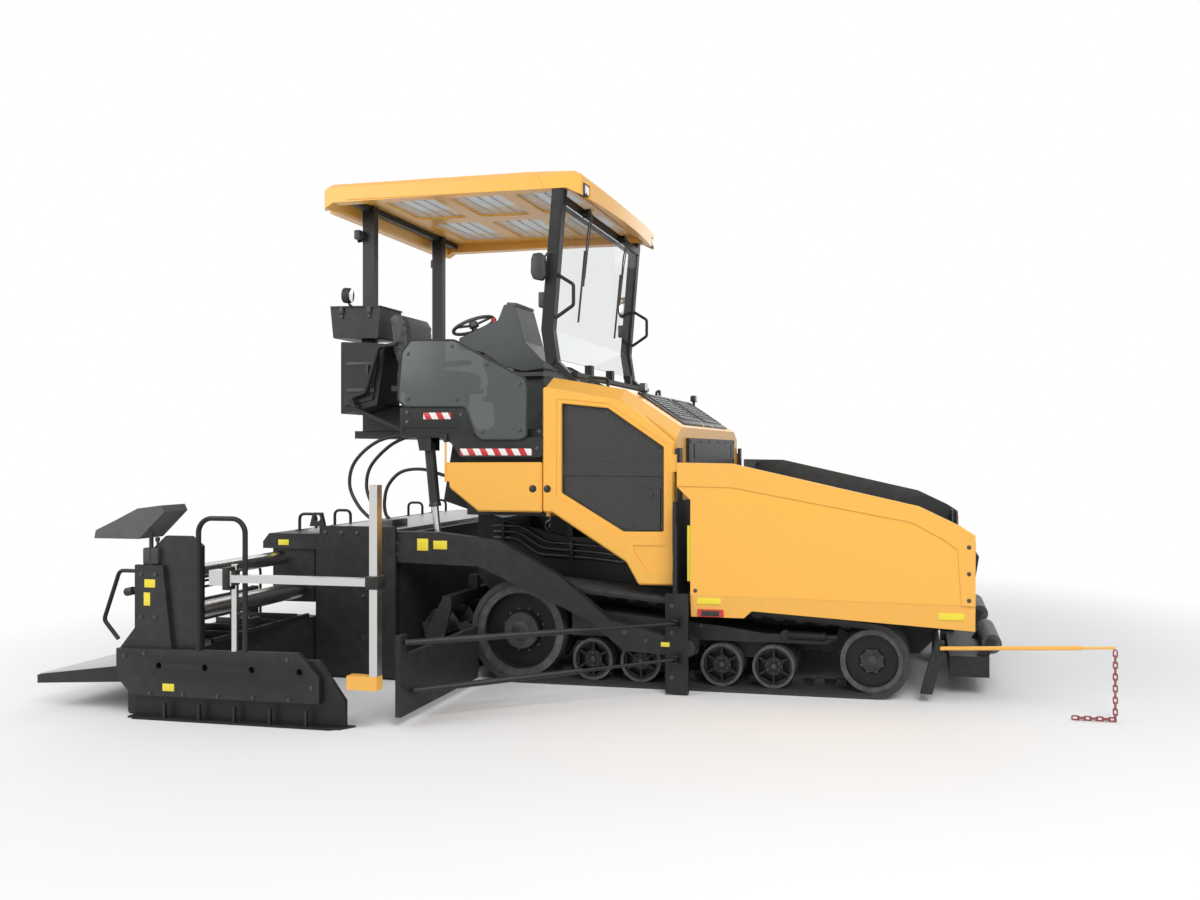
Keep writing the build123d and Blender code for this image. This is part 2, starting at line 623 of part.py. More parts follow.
guide_root = (2313.0, -1195.0, 365.0)
link_width = 30.0
guide_tip = (tip_front - link_width / 2, -1400.0, 450.0)
with BuildPart() as guide_rod:
    start, finish = Vector(*guide_root), Vector(*guide_tip)
    knee = start + (finish - start) * 0.82
    rod(guide_root, tuple(knee), 13)
    rod(tuple(knee), guide_tip, 8)
save(guide_rod, "guide_rod")
link_wire = 8.0
link_length = 52.0
link_pitch = 35.4            # a little less than a link's inner length, so links bear on each other
hanging_links = 12
lying_links = 7
with BuildPart() as guide_chain:
    for index in range(hanging_links + lying_links):
        if index < hanging_links:
            drop = 8 + gap + link_length / 2 + link_pitch * index
            centre = (guide_tip[0], guide_tip[1], guide_tip[2] - drop)
            run = Vector(0, 0, 1)
            across = Vector(1, 0, 0) if index % 2 else Vector(0, 1, 0)
        else:
            centre = (guide_tip[0] - link_pitch * (index - hanging_links + 0.5),
                      guide_tip[1], link_width / 2 + 1)
            run = Vector(1, 0, 0)
            across = Vector(0, 0, 1) if index % 2 else Vector(0, 1, 0)
        with BuildSketch(Plane(origin=centre, x_dir=run, z_dir=across)) as link:
            SlotOverall(link_length, link_width)
            offset(amount=-link_wire, mode=Mode.SUBTRACT)
        extrude(link.sketch, amount=link_wire / 2, both=True)
save(guide_chain, "guide_chain")

# ---------------------------------------------------------------- operator platform
floor_y = deck_half_width - 40
with BuildPart() as deck:
    slab_z([(-434, -floor_y), (-1530, -floor_y), (-1530, -640), (-2220, -640), (-2220, 640),
            (-1530, 640), (-1530, floor_y), (-434, floor_y)], deck_z - 60, deck_z)
    for s in (-1, 1):
        slab_y([(-1530, 1960), (-1020, 1960), (-945, deck_z - 60), (-434, deck_z - 60),
                (-434, 1600), (-1060, 1600), (-1130, 1700), (-1220, deck_z - 60),
                (-1530, deck_z - 60)], s * (deck_half_width - deck_side), s * deck_half_width,
               corner=18)
        slab_y([(-1500, 1775), (-1050, 1775), (-1080, 1812), (-1500, 1812)],
               s * (deck_half_width - 6), s * (deck_half_width + 1), mode=Mode.SUBTRACT)
        block(panel_hinge_x - 12, panel_hinge_x + 12, s * (deck_half_width - 5),
              s * (door_hinge_y + 9), panel_pin_z + gap, 1765)
        for dy in (-64, 44):                                  # ears of the lift cylinder
            slab_y([(lift_top[0] - 45, lift_top[1] - 45), (lift_top[0] + 45, lift_top[1] - 45),
                    (-1290, deck_z - 60), (-1290, deck_z - 40), (-1400, deck_z - 40),
                    (-1400, deck_z - 60)], s * lift_y + dy, s * lift_y + dy + 20)
        rod((lift_top[0], s * lift_y - 50, lift_top[1]), (lift_top[0], s * lift_y + 50, lift_top[1]),
            lift_pin_radius)
        rod((lift_top[0], s * (lift_y + 50), lift_top[1]), (lift_top[0], s * (lift_y + 64), lift_top[1]),
            lift_pin_radius + 10)
    for x in range(-2180, -1560, 60):                         # raised treads of the rear step
        block(x, x + 22, -480, 480, deck_z - 1, deck_z + 4)
save(deck, "deck")

tank_y = deck_half_width - 90
with BuildPart() as tank:
    block(-1050, -440, -tank_y, tank_y, 1180 + gap, deck_z - 60 - gap)
    slab_y([(-1330, 1270), (-1050, 1181), (-1050, deck_z - 61), (-1250, deck_z - 61)],
           -tank_y + 180, tank_y - 180)
save(tank, "tank")

guard_inner_y = deck_half_width
with BuildPart() as side_guards:
    for s in (-1, 1):
        slab_y([(-1513, 2360), (-1440, 2449), (-1098, 2441), (-829, 2292), (-560, 2160),
                (-541, 2100), (-548, 1740), (-600, 1721), (-900, 1722), (-943, 1760),
                (-1020, 1958), (-1489, 1962), (-1545, 2014)], s * guard_inner_y, s * (guard_inner_y + 8),
               corner=26)
save(side_guards, "side_guards")

seat_y = 750.0
with BuildPart() as seat_frames:
    for s in (-1, 1):
        slab_y([(-1660, deck_z), (-1220, deck_z), (-1220, deck_z + 40), (-1290, deck_z + 80),
                (-1270, 2090), (-1620, 2090), (-1600, deck_z + 80), (-1660, deck_z + 40)],
               s * seat_y - 180, s * seat_y + 180)
        block(-1700, -1180, s * seat_y - 230, s * seat_y + 230, 2090, 2130)
        for side_y in (-240, 240):
            slab_y([(-1640, 2335), (-1620, 2300), (-1320, 2320), (-1290, 2345), (-1320, 2362)],
                   s * seat_y + side_y - 28, s * seat_y + side_y + 28)
            slab_y([(-1640, 2110), (-1570, 2110), (-1560, 2310), (-1620, 2340)],
                   s * seat_y + side_y - 18, s * seat_y + side_y + 18)
save(seat_frames, "seat_frames")
with BuildPart() as seat_cushions:
    for s in (-1, 1):
        slab_y([(-1690, 2130 + gap), (-1200, 2130 + gap), (-1170, 2160), (-1175, 2225), (-1220, 2242),
                (-1600, 2225), (-1690, 2235)], s * seat_y - 205, s * seat_y + 205)
        slab_y([(-1645, 2230 + gap), (-1600, 2225 + gap), (-1560, 2227 + gap), (-1545, 2330),
                (-1590, 2440), (-1605, 2620),
                (-1645, 2680), (-1700, 2685), (-1735, 2650), (-1710, 2400)],
               s * seat_y - 205, s * seat_y + 205)
save(seat_cushions, "seat_cushions")

console_y = -450.0
wheel_centre = Vector(-1300, console_y, 2640)
wheel_axis = Vector(-0.42, 0, 1).normalized()
wheel_shaft = 95.0
with BuildPart() as console:
    slab_y([(-960, 2290), (-800, 2250), (-640, 2270), (-640, 2330), (-790, 2480), (-870, 2760),
            (-960, 2770), (-1010, 2650), (-1330, 2520), (-1340, 2440), (-1130, 2400)],
           console_y - 190, console_y + 190, corner=9)
    for place in (0, -1):
        chamfer(console.faces().sort_by(Axis.Y)[place].edges(), 7)
    block(-900, -650, console_y - 150, console_y + 150, deck_z, 2300)
    slab_y([(-960, 1800), (-640, 1800), (-640, 1840), (-700, 1960), (-900, 1960)],
           console_y - 190, console_y + 190)
    block(-925, -640, console_y - 200, console_y + 200, 2215, 2245)
    slab_y([(-985, 2650), (-940, 2790), (-862, 2782), (-868, 2762), (-945, 2768)],
           console_y - 170, console_y + 170)                  # hood over the display
    rod(tuple(wheel_centre - wheel_axis * 240), tuple(wheel_centre - wheel_axis * (wheel_shaft + gap)),
        40)
    block(-1120, -1090, console_y + 200, console_y + 420, 2560, 2720)
    rod((-1100, console_y + 170, 2480), (-1100, console_y + 300, 2580), 14)
    for y, lean in ((90, 20), (130, 5)):                     # control levers on the nose
        rod((-1060, console_y + y, 2600), (-1060 - lean, console_y + y, 2710), 7)
        rod((-1060 - lean, console_y + y, 2705), (-1060 - lean, console_y + y, 2750), 14)
save(console, "console")

with BuildPart() as steering_wheel:
    with Locations(Plane(origin=wheel_centre, z_dir=wheel_axis)):
        Torus(165, 14)
        Cylinder(38, 30)
        for angle in (0, 120, 240):
            with Locations(Location((0, 0, 0), (0, 0, angle))):
                with Locations((88, 0, 0)):
                    Box(150, 26, 12)
    rod(tuple(wheel_centre - wheel_axis * wheel_shaft), tuple(wheel_centre), 16)
save(steering_wheel, "steering_wheel")

# ---------------------------------------------------------------- canopy
def hood_top(x):
    """Height of the hood's upper face behind its break, on its flat middle."""
    return hood_rear_z - (x - hood_rear_x) * (hood_rear_z - hood_break_z) / (hood_break_x - hood_rear_x)


skirt_front = (-390.0, roof_top_z - 142)
skirt_rear = (-2190.0, roof_top_z - 162)


def skirt_under(x):
    """Height of the underside of the roof's side skirts."""
    rise = (skirt_front[1] - skirt_rear[1]) / (skirt_front[0] - skirt_rear[0])
    return skirt_rear[1] + (x - skirt_rear[0]) * rise


knee_z = 2525.0
post_pin = (-425.0, 2297.0)
screen_top_z = roof_top_z - 252
rail_z = roof_top_z - 250
with BuildPart() as canopy_posts:
    for s in (-1, 1):
        block(-2190, -2090, s * rear_post_y - 30, s * rear_post_y + 30, deck_z, roof_cavity_z - gap)
        block(-2165, -2115, s * (rear_post_y - 30), s * 860, roof_cavity_z - 45, roof_cavity_z - gap)
        top = skirt_front[1] - gap
        slab_y([(-308, hood_top(-308) + gap), (-238, hood_top(-238) + gap), (-395, post_pin[1]),
                (-430, knee_z), (-345, top), (-390, top),
                (-436, skirt_under(-436) - gap), (-520, knee_z), (-485, post_pin[1])],
               s * front_post_y - 35, s * front_post_y + 35)
        rod((post_pin[0] - 15, s * (front_post_y + 35), post_pin[1]),
            (post_pin[0] - 15, s * (front_post_y + 48), post_pin[1]), 26)
        pipe([(-410, s * (front_post_y + 15), 2930), (-280, s * (front_post_y + 15), 2850),
              (-280, s * (front_post_y + 15), 2700), (-418, s * (front_post_y + 15), 2610)], 13, 30)
    block(-2165, -2115, -rear_post_y + 20, rear_post_y - 20, roof_cavity_z - 45, roof_cavity_z - gap)
    block(-430, -345, -front_post_y, front_post_y, rail_z, rail_z + 60)
    block(-325, -255, -front_post_y, front_post_y, 2185, 2215)
    for y in (-560, 340):                                     # wiper motors on the top rail
        rod((-345, y, rail_z + 20), (-290, y, rail_z + 20), 34)
    for y in (-500, 0, 500):                                  # clamps under the screen
        block(-345, -290, y - 30, y + 30, 2210, 2300)
save(canopy_posts, "canopy_posts")

with BuildPart() as windscreen:
    slab_y([(-410, 2310), (-400, 2310), (-444, knee_z), (-355, screen_top_z), (-365, screen_top_z),
            (-454, knee_z)], -front_post_y + 35 + gap, front_post_y - 35 - gap)
save(windscreen, "windscreen")

skylight_xs = (-1750.0, -1190.0, -630.0)
skylight_y = 430.0
skylight_length = 440.0
skylight_width = 700.0
skylight_corner = 55.0
with BuildPart() as canopy_roof:
    with BuildSketch(Plane.XY.offset(roof_top_z - 220)) as plan:
        with BuildLine():
            half = roof_half_width
            Polyline((roof_front_x - 60, half), (roof_rear_x + 70, half), (roof_rear_x, half - 110),
                     (roof_rear_x, 110 - half), (roof_rear_x + 70, -half), (roof_front_x - 60, -half))
            ThreePointArc((roof_front_x - 60, -half), (roof_front_x, 0), (roof_front_x - 60, half))
        make_face()
    extrude(plan.sketch, amount=220)
    slab_y([(roof_rear_x, roof_top_z - 198), (roof_rear_x, roof_top_z - 140), (-2205, roof_top_z - 18),
            (-600, roof_top_z), (-275, roof_top_z - 14), (roof_front_x, roof_top_z - 82),
            (roof_front_x, roof_top_z - 196), (roof_front_x - 60, roof_top_z - 196),
            (-330, skirt_front[1]), skirt_front, skirt_rear, (-2250, roof_top_z - 198)],
           -roof_half_width, roof_half_width, mode=Mode.INTERSECT)
    inner = roof_half_width - roof_skirt
    slab_x([(-roof_half_width, roof_top_z - 220), (-roof_half_width, roof_top_z - 48),
            (50 - roof_half_width, roof_top_z), (roof_half_width - 50, roof_top_z),
            (roof_half_width, roof_top_z - 48), (roof_half_width, roof_top_z - 220)],
           roof_rear_x, roof_front_x, mode=Mode.INTERSECT)    # bevelled shoulders
    slab_y([(-2240, roof_top_z - 230), (-2200, roof_cavity_z), (-300, roof_cavity_z),
            (-260, roof_top_z - 230)], -inner, inner, mode=Mode.SUBTRACT)
    with BuildSketch(Plane.XY.offset(roof_cavity_z - 1)) as pockets:
        with Locations(*[(x, s * skylight_y) for x in skylight_xs for s in (-1, 1)]):
            RectangleRounded(skylight_length, skylight_width, skylight_corner)
    extrude(pockets.sketch, amount=200, mode=Mode.SUBTRACT)
    for s in (-1, 1):                                         # lamp recesses at the four corners
        block(roof_front_x - 110, roof_front_x + 5, s * 815, s * 935, roof_top_z - 200,
              roof_top_z - 100, mode=Mode.SUBTRACT)
        block(roof_rear_x - 5, roof_rear_x + 70, s * 800, s * 880, roof_top_z - 200,
              roof_top_z - 120, mode=Mode.SUBTRACT)
        slab_y([(-2070, roof_top_z - 147), (-2038, roof_top_z - 73), (-1850, roof_top_z - 52),
                (-540, roof_top_z - 52), (-498, roof_top_z - 146)],
               s * (roof_half_width - 5), s * (roof_half_width + 7))      # side panel, proud of the skirt
    slab_x([(-150, roof_top_z - 12), (-130, roof_top_z + 12), (130, roof_top_z + 12),
            (150, roof_top_z - 12)], -2130, -380, mode=Mode.SUBTRACT)     # shallow drain channel
save(canopy_roof, "canopy_roof")

with BuildPart() as roof_skylights:
    with BuildSketch(Plane.XY.offset(roof_top_z - 70)) as panes:
        with Locations(*[(x, s * skylight_y) for x in skylight_xs for s in (-1, 1)]):
            RectangleRounded(skylight_length - 2 * gap, skylight_width - 2 * gap, skylight_corner - gap)
    extrude(panes.sketch, amount=10)
save(roof_skylights, "roof_skylights")

# ---------------------------------------------------------------- rear lockers and rails
with BuildPart() as rear_locker:
    slab_y([(-2130, 1920), (-1830, 1990), (-1760, 2450), (-2130, 2470)], -960, -650, corner=12)
    slab_y([(-2100, 1980), (-1860, 2030), (-1810, 2400), (-2100, 2415)], -972, -960, corner=12)
    slab_y([(-2235, 2505), (-1860, 2500), (-1840, 2740), (-2260, 2745)], -900, -600, corner=12)
    slab_y([(-2255, 2740), (-2255, 2752), (-1835, 2747), (-1835, 2736)], -908, -592)    # lid
    block(-2060, -2000, -800, -740, 2460, 2510)
    block(-2130, -1700, -660, -600, deck_z, 2000)
    pipe([(-1537, -1000, 1770), (-1990, -1000, 1960), (-2020, -1000, 2040), (-1900, -1000, 2080),
          (-1790, -1000, 2420), (-1640, -1000, 2440)], 16, 30)
save(rear_locker, "rear_locker")

# ---------------------------------------------------------------- lift cylinders
lift_dx = lift_foot[0] - lift_top[0]
lift_dz = lift_foot[1] - lift_top[1]
lift_length = hypot(lift_dx, lift_dz)
lift_way = Vector(lift_dx / lift_length, 0, lift_dz / lift_length)
for side, s in SIDES:
    top = Vector(lift_top[0], s * lift_y, lift_top[1])
    foot = Vector(lift_foot[0], s * lift_y, lift_foot[1])
    with BuildPart() as lift_barrel:
        rod(tuple(top + lift_way * 30), tuple(top + lift_way * barrel_length), barrel_radius)
        rod((top.X, top.Y - 25, top.Z), (top.X, top.Y + 25, top.Z), 42)
        rod((top.X, top.Y - 40, top.Z), (top.X, top.Y + 40, top.Z),
            lift_pin_radius + running_gap, mode=Mode.SUBTRACT)
        rod(tuple(top + lift_way * 60), tuple(top + lift_way * (barrel_length + 5)),
            rod_radius + running_gap, mode=Mode.SUBTRACT)
    save(lift_barrel, f"lift_barrel_{side}")
    eye = lift_pin_radius + lift_bore_slack
    with BuildPart() as lift_rod:
        rod(tuple(top + lift_way * 380), tuple(foot - lift_way * (eye + 5)), rod_radius)
        rod((foot.X, foot.Y - 22, foot.Z), (foot.X, foot.Y + 22, foot.Z), eye + 16)
        rod((foot.X, foot.Y - 40, foot.Z), (foot.X, foot.Y + 40, foot.Z), eye, mode=Mode.SUBTRACT)
    save(lift_rod, f"lift_rod_{side}")
# ---------------------------------------------------------------- screed
arm_outer_y = arm_inner_y + arm_thickness
plate_inner_y = screed_half_width - end_plate
with BuildPart() as tow_arms:
    for s in (-1, 1):
        slab_y([(-1700, 1064), (-1182, 1064), (-725, 1015), (-278, 779), (100, 479), (477, 392),
                (tow_pin_x, tow_pin_z + 72), (tow_pin_x + 60, tow_pin_z + 40),
                (tow_pin_x + 60, tow_pin_z - 40), (tow_pin_x, tow_pin_z - 72), (477, 262),
                (193, 275), (-59, 473), (-500, 669), (-876, 829), (-1700, 850)],
               s * arm_inner_y, s * arm_outer_y)
        with Locations(Location((tow_pin_x, s * (arm_inner_y + arm_outer_y) / 2, tow_pin_z),
                                (90, 0, 0))):
            Cylinder(tow_pin_radius + running_gap, arm_thickness + 20, mode=Mode.SUBTRACT)
save(tow_arms, "tow_arms")

with BuildPart() as lift_pins:
    for s in (-1, 1):
        rod((lift_foot[0], s * (lift_y - 30), lift_foot[1]),
            (lift_foot[0], s * (arm_inner_y - gap), lift_foot[1]), lift_pin_radius)
save(lift_pins, "lift_pins")

with BuildPart() as screed_frame:
    block(screed_rear_x, screed_front_x, -plate_inner_y, plate_inner_y, 0, 180)
    block(-1600, screed_front_x, -1170, 1170, 180, 1040)
    block(screed_rear_x, -2100, -1170, 1170, 180, 600)
    slab_y([(-2560, 930), (-2560, 980), (-2510, 1040), (-1710, 1040), (-1710, 1015), (-2500, 1015),
            (-2530, 975), (-2530, 930)], -plate_inner_y, plate_inner_y)
    block(-1710, -1600, -1170, 1170, 1015, 1040)
    for s in (-1, 1):
        slab_y([(screed_rear_x, 20), (screed_front_x, 20), (screed_front_x, 1100), (-2100, 1100),
                (-2100, 1040), (-2510, 1040), (-2560, 980), (-2560, 930), (screed_rear_x, 930)],
               s * plate_inner_y, s * screed_half_width)
        slab_y([(-2180, 1095), (-2060, 1095), (-2085, 1195), (-2155, 1195)],
               s * plate_inner_y, s * screed_half_width)              # lifting ear
        rod((-2120, s * 1100, 1155), (-2120, s * 1300, 1155), lifting_eye_radius,
            mode=Mode.SUBTRACT)
        slab_y([(-2500, 540), (-2160, 540), (-2160, 1016), (-2500, 1016)], s * 1110, s * 1235)
        for (x, z), radius in ((upper_tube, upper_tube_radius), (lower_tube, lower_tube_radius)):
            rod((x, s * 1100, z), (x, s * 1300, z), radius + running_gap, mode=Mode.SUBTRACT)
save(screed_frame, "screed_frame")
with BuildPart() as screed_walkway:
    block(-2270, -1600, -1150, 1150, 1040, 1065)
save(screed_walkway, "screed_walkway")

gate_inner_y = gate_outer_y - gate_thickness
frame_inner_y = screed_half_width + extension_reach + 10
extension_inner_y = screed_half_width - 65


def gate_top(x):
    """Height at which a post stands on the end gate's sloping upper edge."""
    return 426 + (x + 2702) * 16 / 1253 + 2 * gap


for side, s in SIDES:
    with BuildPart() as extension:
        block(extension_rear_x, -2150, s * extension_inner_y, s * frame_inner_y, 0, 440)
        slab_y([(-2560, 200), (-2150, 200), (-2150, 1060), (-2230, 1120), (-2400, 1120),
                (-2560, 980)], s * frame_inner_y, s * (frame_inner_y + 30))
        for (x, z), radius in ((upper_tube, upper_tube_radius), (lower_tube, lower_tube_radius)):
            rod((x, s * (extension_reach + 10), z), (x, s * frame_inner_y, z), radius)
        block(extension_rear_x, -2150, s * frame_inner_y, s * (gate_inner_y - 46), 12, 400)
        slab_y([(tip_rear, 163), (tip_rear, 215), (extension_rear_x, 300), (extension_rear_x, 200)],
               s * (screed_half_width + 65), s * (gate_inner_y - 46))
    save(extension, f"extension_{side}")
    with BuildPart() as end_gate:
        slab_y([(-2702, 426), (-1449, 442), (-1312, 300), (-1312, 146), (-2595, 143), (-2702, 253)],
               s * gate_inner_y, s * gate_outer_y)
        for x in (-2400, -2080, -1760, -1440):                # plate holes
            rod((x, s * (gate_inner_y + gap), 330), (x, s * (gate_outer_y + 5), 330), 20,
                mode=Mode.SUBTRACT)
        for x in (-2350, -2110, -1870, -1630, -1390):         # ribs over the sliding shoe
            slab_y([(x - 8, 10), (x + 8, 10), (x + 8, 110), (x - 8, 110)],
                   s * (gate_outer_y - 1), s * (gate_outer_y + 18))
        slab_z([(-2600, s * (gate_outer_y - 1)), (-1195, s * (gate_outer_y - 1)),
                (-1235, s * (gate_outer_y + 20)), (-2570, s * (gate_outer_y + 20))], 0, 14)
        slab_y([(-2595, 12), (-1161, 12), (-1161, 165), (-1332, 397), (-1480, 397), (-2595, 200)],
               s * (gate_inner_y - 25), s * gate_inner_y)
        slab_z([(-2620, s * (gate_inner_y - 45)), (-1120, s * (gate_inner_y - 45)),
                (-1180, s * (gate_outer_y)), (-2620, s * gate_outer_y)], 0, 12)
        slab_y([(-2702, 426), (-2598, 551), (-2598, 940), (-2400, 940), (-2338, 430)],
               s * (gate_inner_y - 25), s * gate_inner_y)
    save(end_gate, f"end_gate_{side}")
    rail_y = s * (gate_outer_y + gate_inner_y) / 2
    post_y = s * (gate_inner_y - 12)
    with BuildPart() as gate_rails:
        pipe([(-2598 - gap, post_y, 900), (-2717, post_y, 900), (-2830, post_y, 590),
              (-2726, post_y, 475)], 12, 40)
        pipe([(-2135, rail_y, gate_top(-2135)), (-2135, rail_y, 1235), (-1815, rail_y, 1235),
              (-1815, rail_y, gate_top(-1815))], 15, 90)
        rod((-2490, post_y, 940), (-2490, post_y, 1154), 12)
        slab_y([(-2880, 1100), (-2560, 1100), (-2380, 1270), (-2400, 1310), (-2560, 1290),
                (-2870, 1150)], s * (gate_outer_y - 210), s * (gate_outer_y - 20))
    save(gate_rails, f"gate_rails_{side}")
    with BuildPart() as grade_mast:
        rod((-1884, s * (gate_outer_y - 15), 437), (-1884, s * (gate_outer_y - 15), 960), 20)
        block(-2000, -1850, s * (gate_outer_y - 15), s * (gate_outer_y + 60), 840, 930)
        block(-1850, -930, s * (gate_outer_y + 10), s * (gate_outer_y + 60), 860, 905)
        block(-948, -898, s * (gate_outer_y + 10), s * (gate_outer_y + 60), 340, 1447)
        block(-1090, -898, s * (gate_outer_y + 5), s * (gate_outer_y + 65), 260, 340)
    save(grade_mast, f"grade_mast_{side}")
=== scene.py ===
import bpy
import math
from mathutils import Matrix, Vector


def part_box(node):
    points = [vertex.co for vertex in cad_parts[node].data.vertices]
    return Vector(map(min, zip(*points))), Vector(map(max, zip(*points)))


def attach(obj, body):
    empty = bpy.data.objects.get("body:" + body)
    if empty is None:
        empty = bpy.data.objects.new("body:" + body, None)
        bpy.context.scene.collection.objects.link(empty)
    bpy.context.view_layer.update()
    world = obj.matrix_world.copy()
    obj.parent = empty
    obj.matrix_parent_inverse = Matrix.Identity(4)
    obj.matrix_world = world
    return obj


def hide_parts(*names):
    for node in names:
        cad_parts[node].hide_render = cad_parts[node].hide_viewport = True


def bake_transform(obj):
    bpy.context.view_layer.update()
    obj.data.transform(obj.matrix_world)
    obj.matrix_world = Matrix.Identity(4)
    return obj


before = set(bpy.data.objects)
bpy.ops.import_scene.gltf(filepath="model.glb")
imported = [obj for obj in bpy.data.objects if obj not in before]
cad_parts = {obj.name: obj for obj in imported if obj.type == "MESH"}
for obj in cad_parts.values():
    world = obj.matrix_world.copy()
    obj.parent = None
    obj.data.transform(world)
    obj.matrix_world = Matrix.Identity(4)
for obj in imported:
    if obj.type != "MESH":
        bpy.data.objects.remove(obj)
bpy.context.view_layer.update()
SIDES = (("right", -1), ("left", 1))     # each side's name, and the sign of its y

# ---- Camera: chest height, off the right side and a little ahead of the middle -------
# A plain standing view; the shift frames the machine a little left of the lens axis.
camera_data = bpy.data.cameras.new("camera")
camera_data.sensor_width = 36.0
camera_data.lens = 28.17
camera_data.shift_x = -0.1167
camera_data.clip_end = 200.0
camera = bpy.data.objects.new("camera", camera_data)
camera.location = (2.15, -7.41, 1.65)
camera.rotation_euler = (math.radians(90), 0, math.radians(10.54))
bpy.context.collection.objects.link(camera)
bpy.context.scene.camera = camera
bpy.context.scene.view_settings.view_transform = "Standard"

# ---- Ground and light: a pale floor under soft studio lamps ---------------------------
# The floor shows white to the lens and to glossy paint, and still takes the soft shadow.
def deselect():
    """Leaves nothing selected, so that the next operator acts on its own piece."""
    for item in bpy.context.selected_objects:
        item.select_set(False)


def set_inputs(tree, node, inputs):
    """Gives each named input its value, or links it to the output that is given."""
    for key, value in inputs.items():
        if isinstance(value, bpy.types.NodeSocket):
            tree.links.new(value, node.inputs[key])
        else:
            node.inputs[key].default_value = value


def add_node(tree, kind, inputs, **settings):
    """Adds a node to a tree, first with its settings and then with its inputs."""
    node = tree.nodes.new(kind)
    for key, value in settings.items():
        setattr(node, key, value)
    set_inputs(tree, node, inputs)
    return node


def number(tree, operation, *values):
    """One arithmetic node on outputs or numbers; gives its output."""
    return add_node(tree, "ShaderNodeMath", dict(enumerate(values)),
                    operation=operation).outputs[0]


def mix_colour(tree, factor, first, second):
    """A colour between two, by a factor; gives the output."""
    return add_node(tree, "ShaderNodeMix", {"Factor": factor, "A": first, "B": second},
                    data_type="RGBA").outputs["Result"]


def new_paint(name):
    """Starts a material; gives it with its tree and its shader."""
    paint = bpy.data.materials.new(name)
    paint.use_nodes = True
    return paint, paint.node_tree, paint.node_tree.nodes["Principled BSDF"]


def object_coords(tree):
    """The output that holds a point's place in the object's own axes."""
    return add_node(tree, "ShaderNodeTexCoord", {}).outputs["Object"]


floor_size, white_from, white_to = 120, 3.2, 6.5     # the floor fades to white between these
deselect()
bpy.ops.mesh.primitive_plane_add(size=floor_size)
floor = bpy.context.object
floor.name = "floor"
floor_paint, tree, shader = new_paint("floor_white")
set_inputs(tree, shader, {"Base Color": (0.90, 0.90, 0.90, 1), "Roughness": 0.9})
glow = add_node(tree, "ShaderNodeEmission", {"Color": (1, 1, 1, 1)})
ray = add_node(tree, "ShaderNodeLightPath", {})
reach = add_node(tree, "ShaderNodeVectorMath", {0: object_coords(tree)}, operation="LENGTH")
fade = add_node(tree, "ShaderNodeMapRange",
                {"Value": reach.outputs["Value"], "From Min": white_from, "From Max": white_to},
                interpolation_type="SMOOTHSTEP")
seen = number(tree, "MAXIMUM", ray.outputs["Is Camera Ray"], ray.outputs["Is Glossy Ray"])
floor_mix = add_node(tree, "ShaderNodeMixShader",
                     {"Fac": number(tree, "MULTIPLY", seen, fade.outputs["Result"]),
                      1: shader.outputs[0], 2: glow.outputs[0]})
set_inputs(tree, tree.nodes["Material Output"], {"Surface": floor_mix.outputs[0]})
floor.data.materials.append(floor_paint)

world = bpy.data.worlds.new("studio")
bpy.context.scene.world = world
world.use_nodes = True
tree = world.node_tree
tree.nodes.clear()
white = add_node(tree, "ShaderNodeBackground", {"Color": (1, 1, 1, 1), "Strength": 1.0})
soft = add_node(tree, "ShaderNodeBackground", {"Color": (0.95, 0.97, 1, 1), "Strength": 0.48})
ray = add_node(tree, "ShaderNodeLightPath", {})
seen = number(tree, "MAXIMUM", ray.outputs["Is Camera Ray"], ray.outputs["Is Glossy Ray"])
seen = number(tree, "MAXIMUM", seen, ray.outputs["Is Transmission Ray"])
mix = add_node(tree, "ShaderNodeMixShader", {"Fac": seen, 1: soft.outputs[0], 2: white.outputs[0]})
add_node(tree, "ShaderNodeOutputWorld", {"Surface": mix.outputs[0]})

# name, place, size, watts, what it points at
for lamp_name, place, size, watts, target in (
        ("key", (4.5, -7.5, 7.5), 5.0, 560, (0, 0, 1.2)),
        ("fill", (-6.5, -6.0, 5.0), 5.0, 230, (-1, 0, 1.0)),
        ("back", (0.0, 8.0, 7.0), 6.0, 190, (0, 0, 1.5))):
    lamp_data = bpy.data.lights.new(lamp_name, "AREA")
    lamp_data.size = size
    lamp_data.energy = watts
    lamp = bpy.data.objects.new(lamp_name, lamp_data)
    lamp.location = place
    lamp.rotation_euler = (Vector(target) - Vector(place)).to_track_quat("-Z", "Y").to_euler()
    bpy.context.collection.objects.link(lamp)

# ---- Painted panels: wings, doors, hood, roof -----------------------------------------
# Pressed and folded sheet in a warm yellow enamel, sprayed over primer. The coat has a
# faint orange peel, cloudy tone, and dust that settles on what faces up.
def new_group(name, inputs, outputs):
    """Starts a node group with its sockets, given as (name, kind, default)."""
    group = bpy.data.node_groups.new(name, "ShaderNodeTree")
    for socket_name, kind, value in inputs:
        socket = group.interface.new_socket(name=socket_name, in_out="INPUT", socket_type=kind)
        socket.default_value = value
    for socket_name, kind in outputs:
        group.interface.new_socket(name=socket_name, in_out="OUTPUT", socket_type=kind)
    return group, group.nodes.new("NodeGroupInput").outputs, group.nodes.new("NodeGroupOutput")


COLOUR, NUMBER, DIRECTION = "NodeSocketColor", "NodeSocketFloat", "NodeSocketVector"

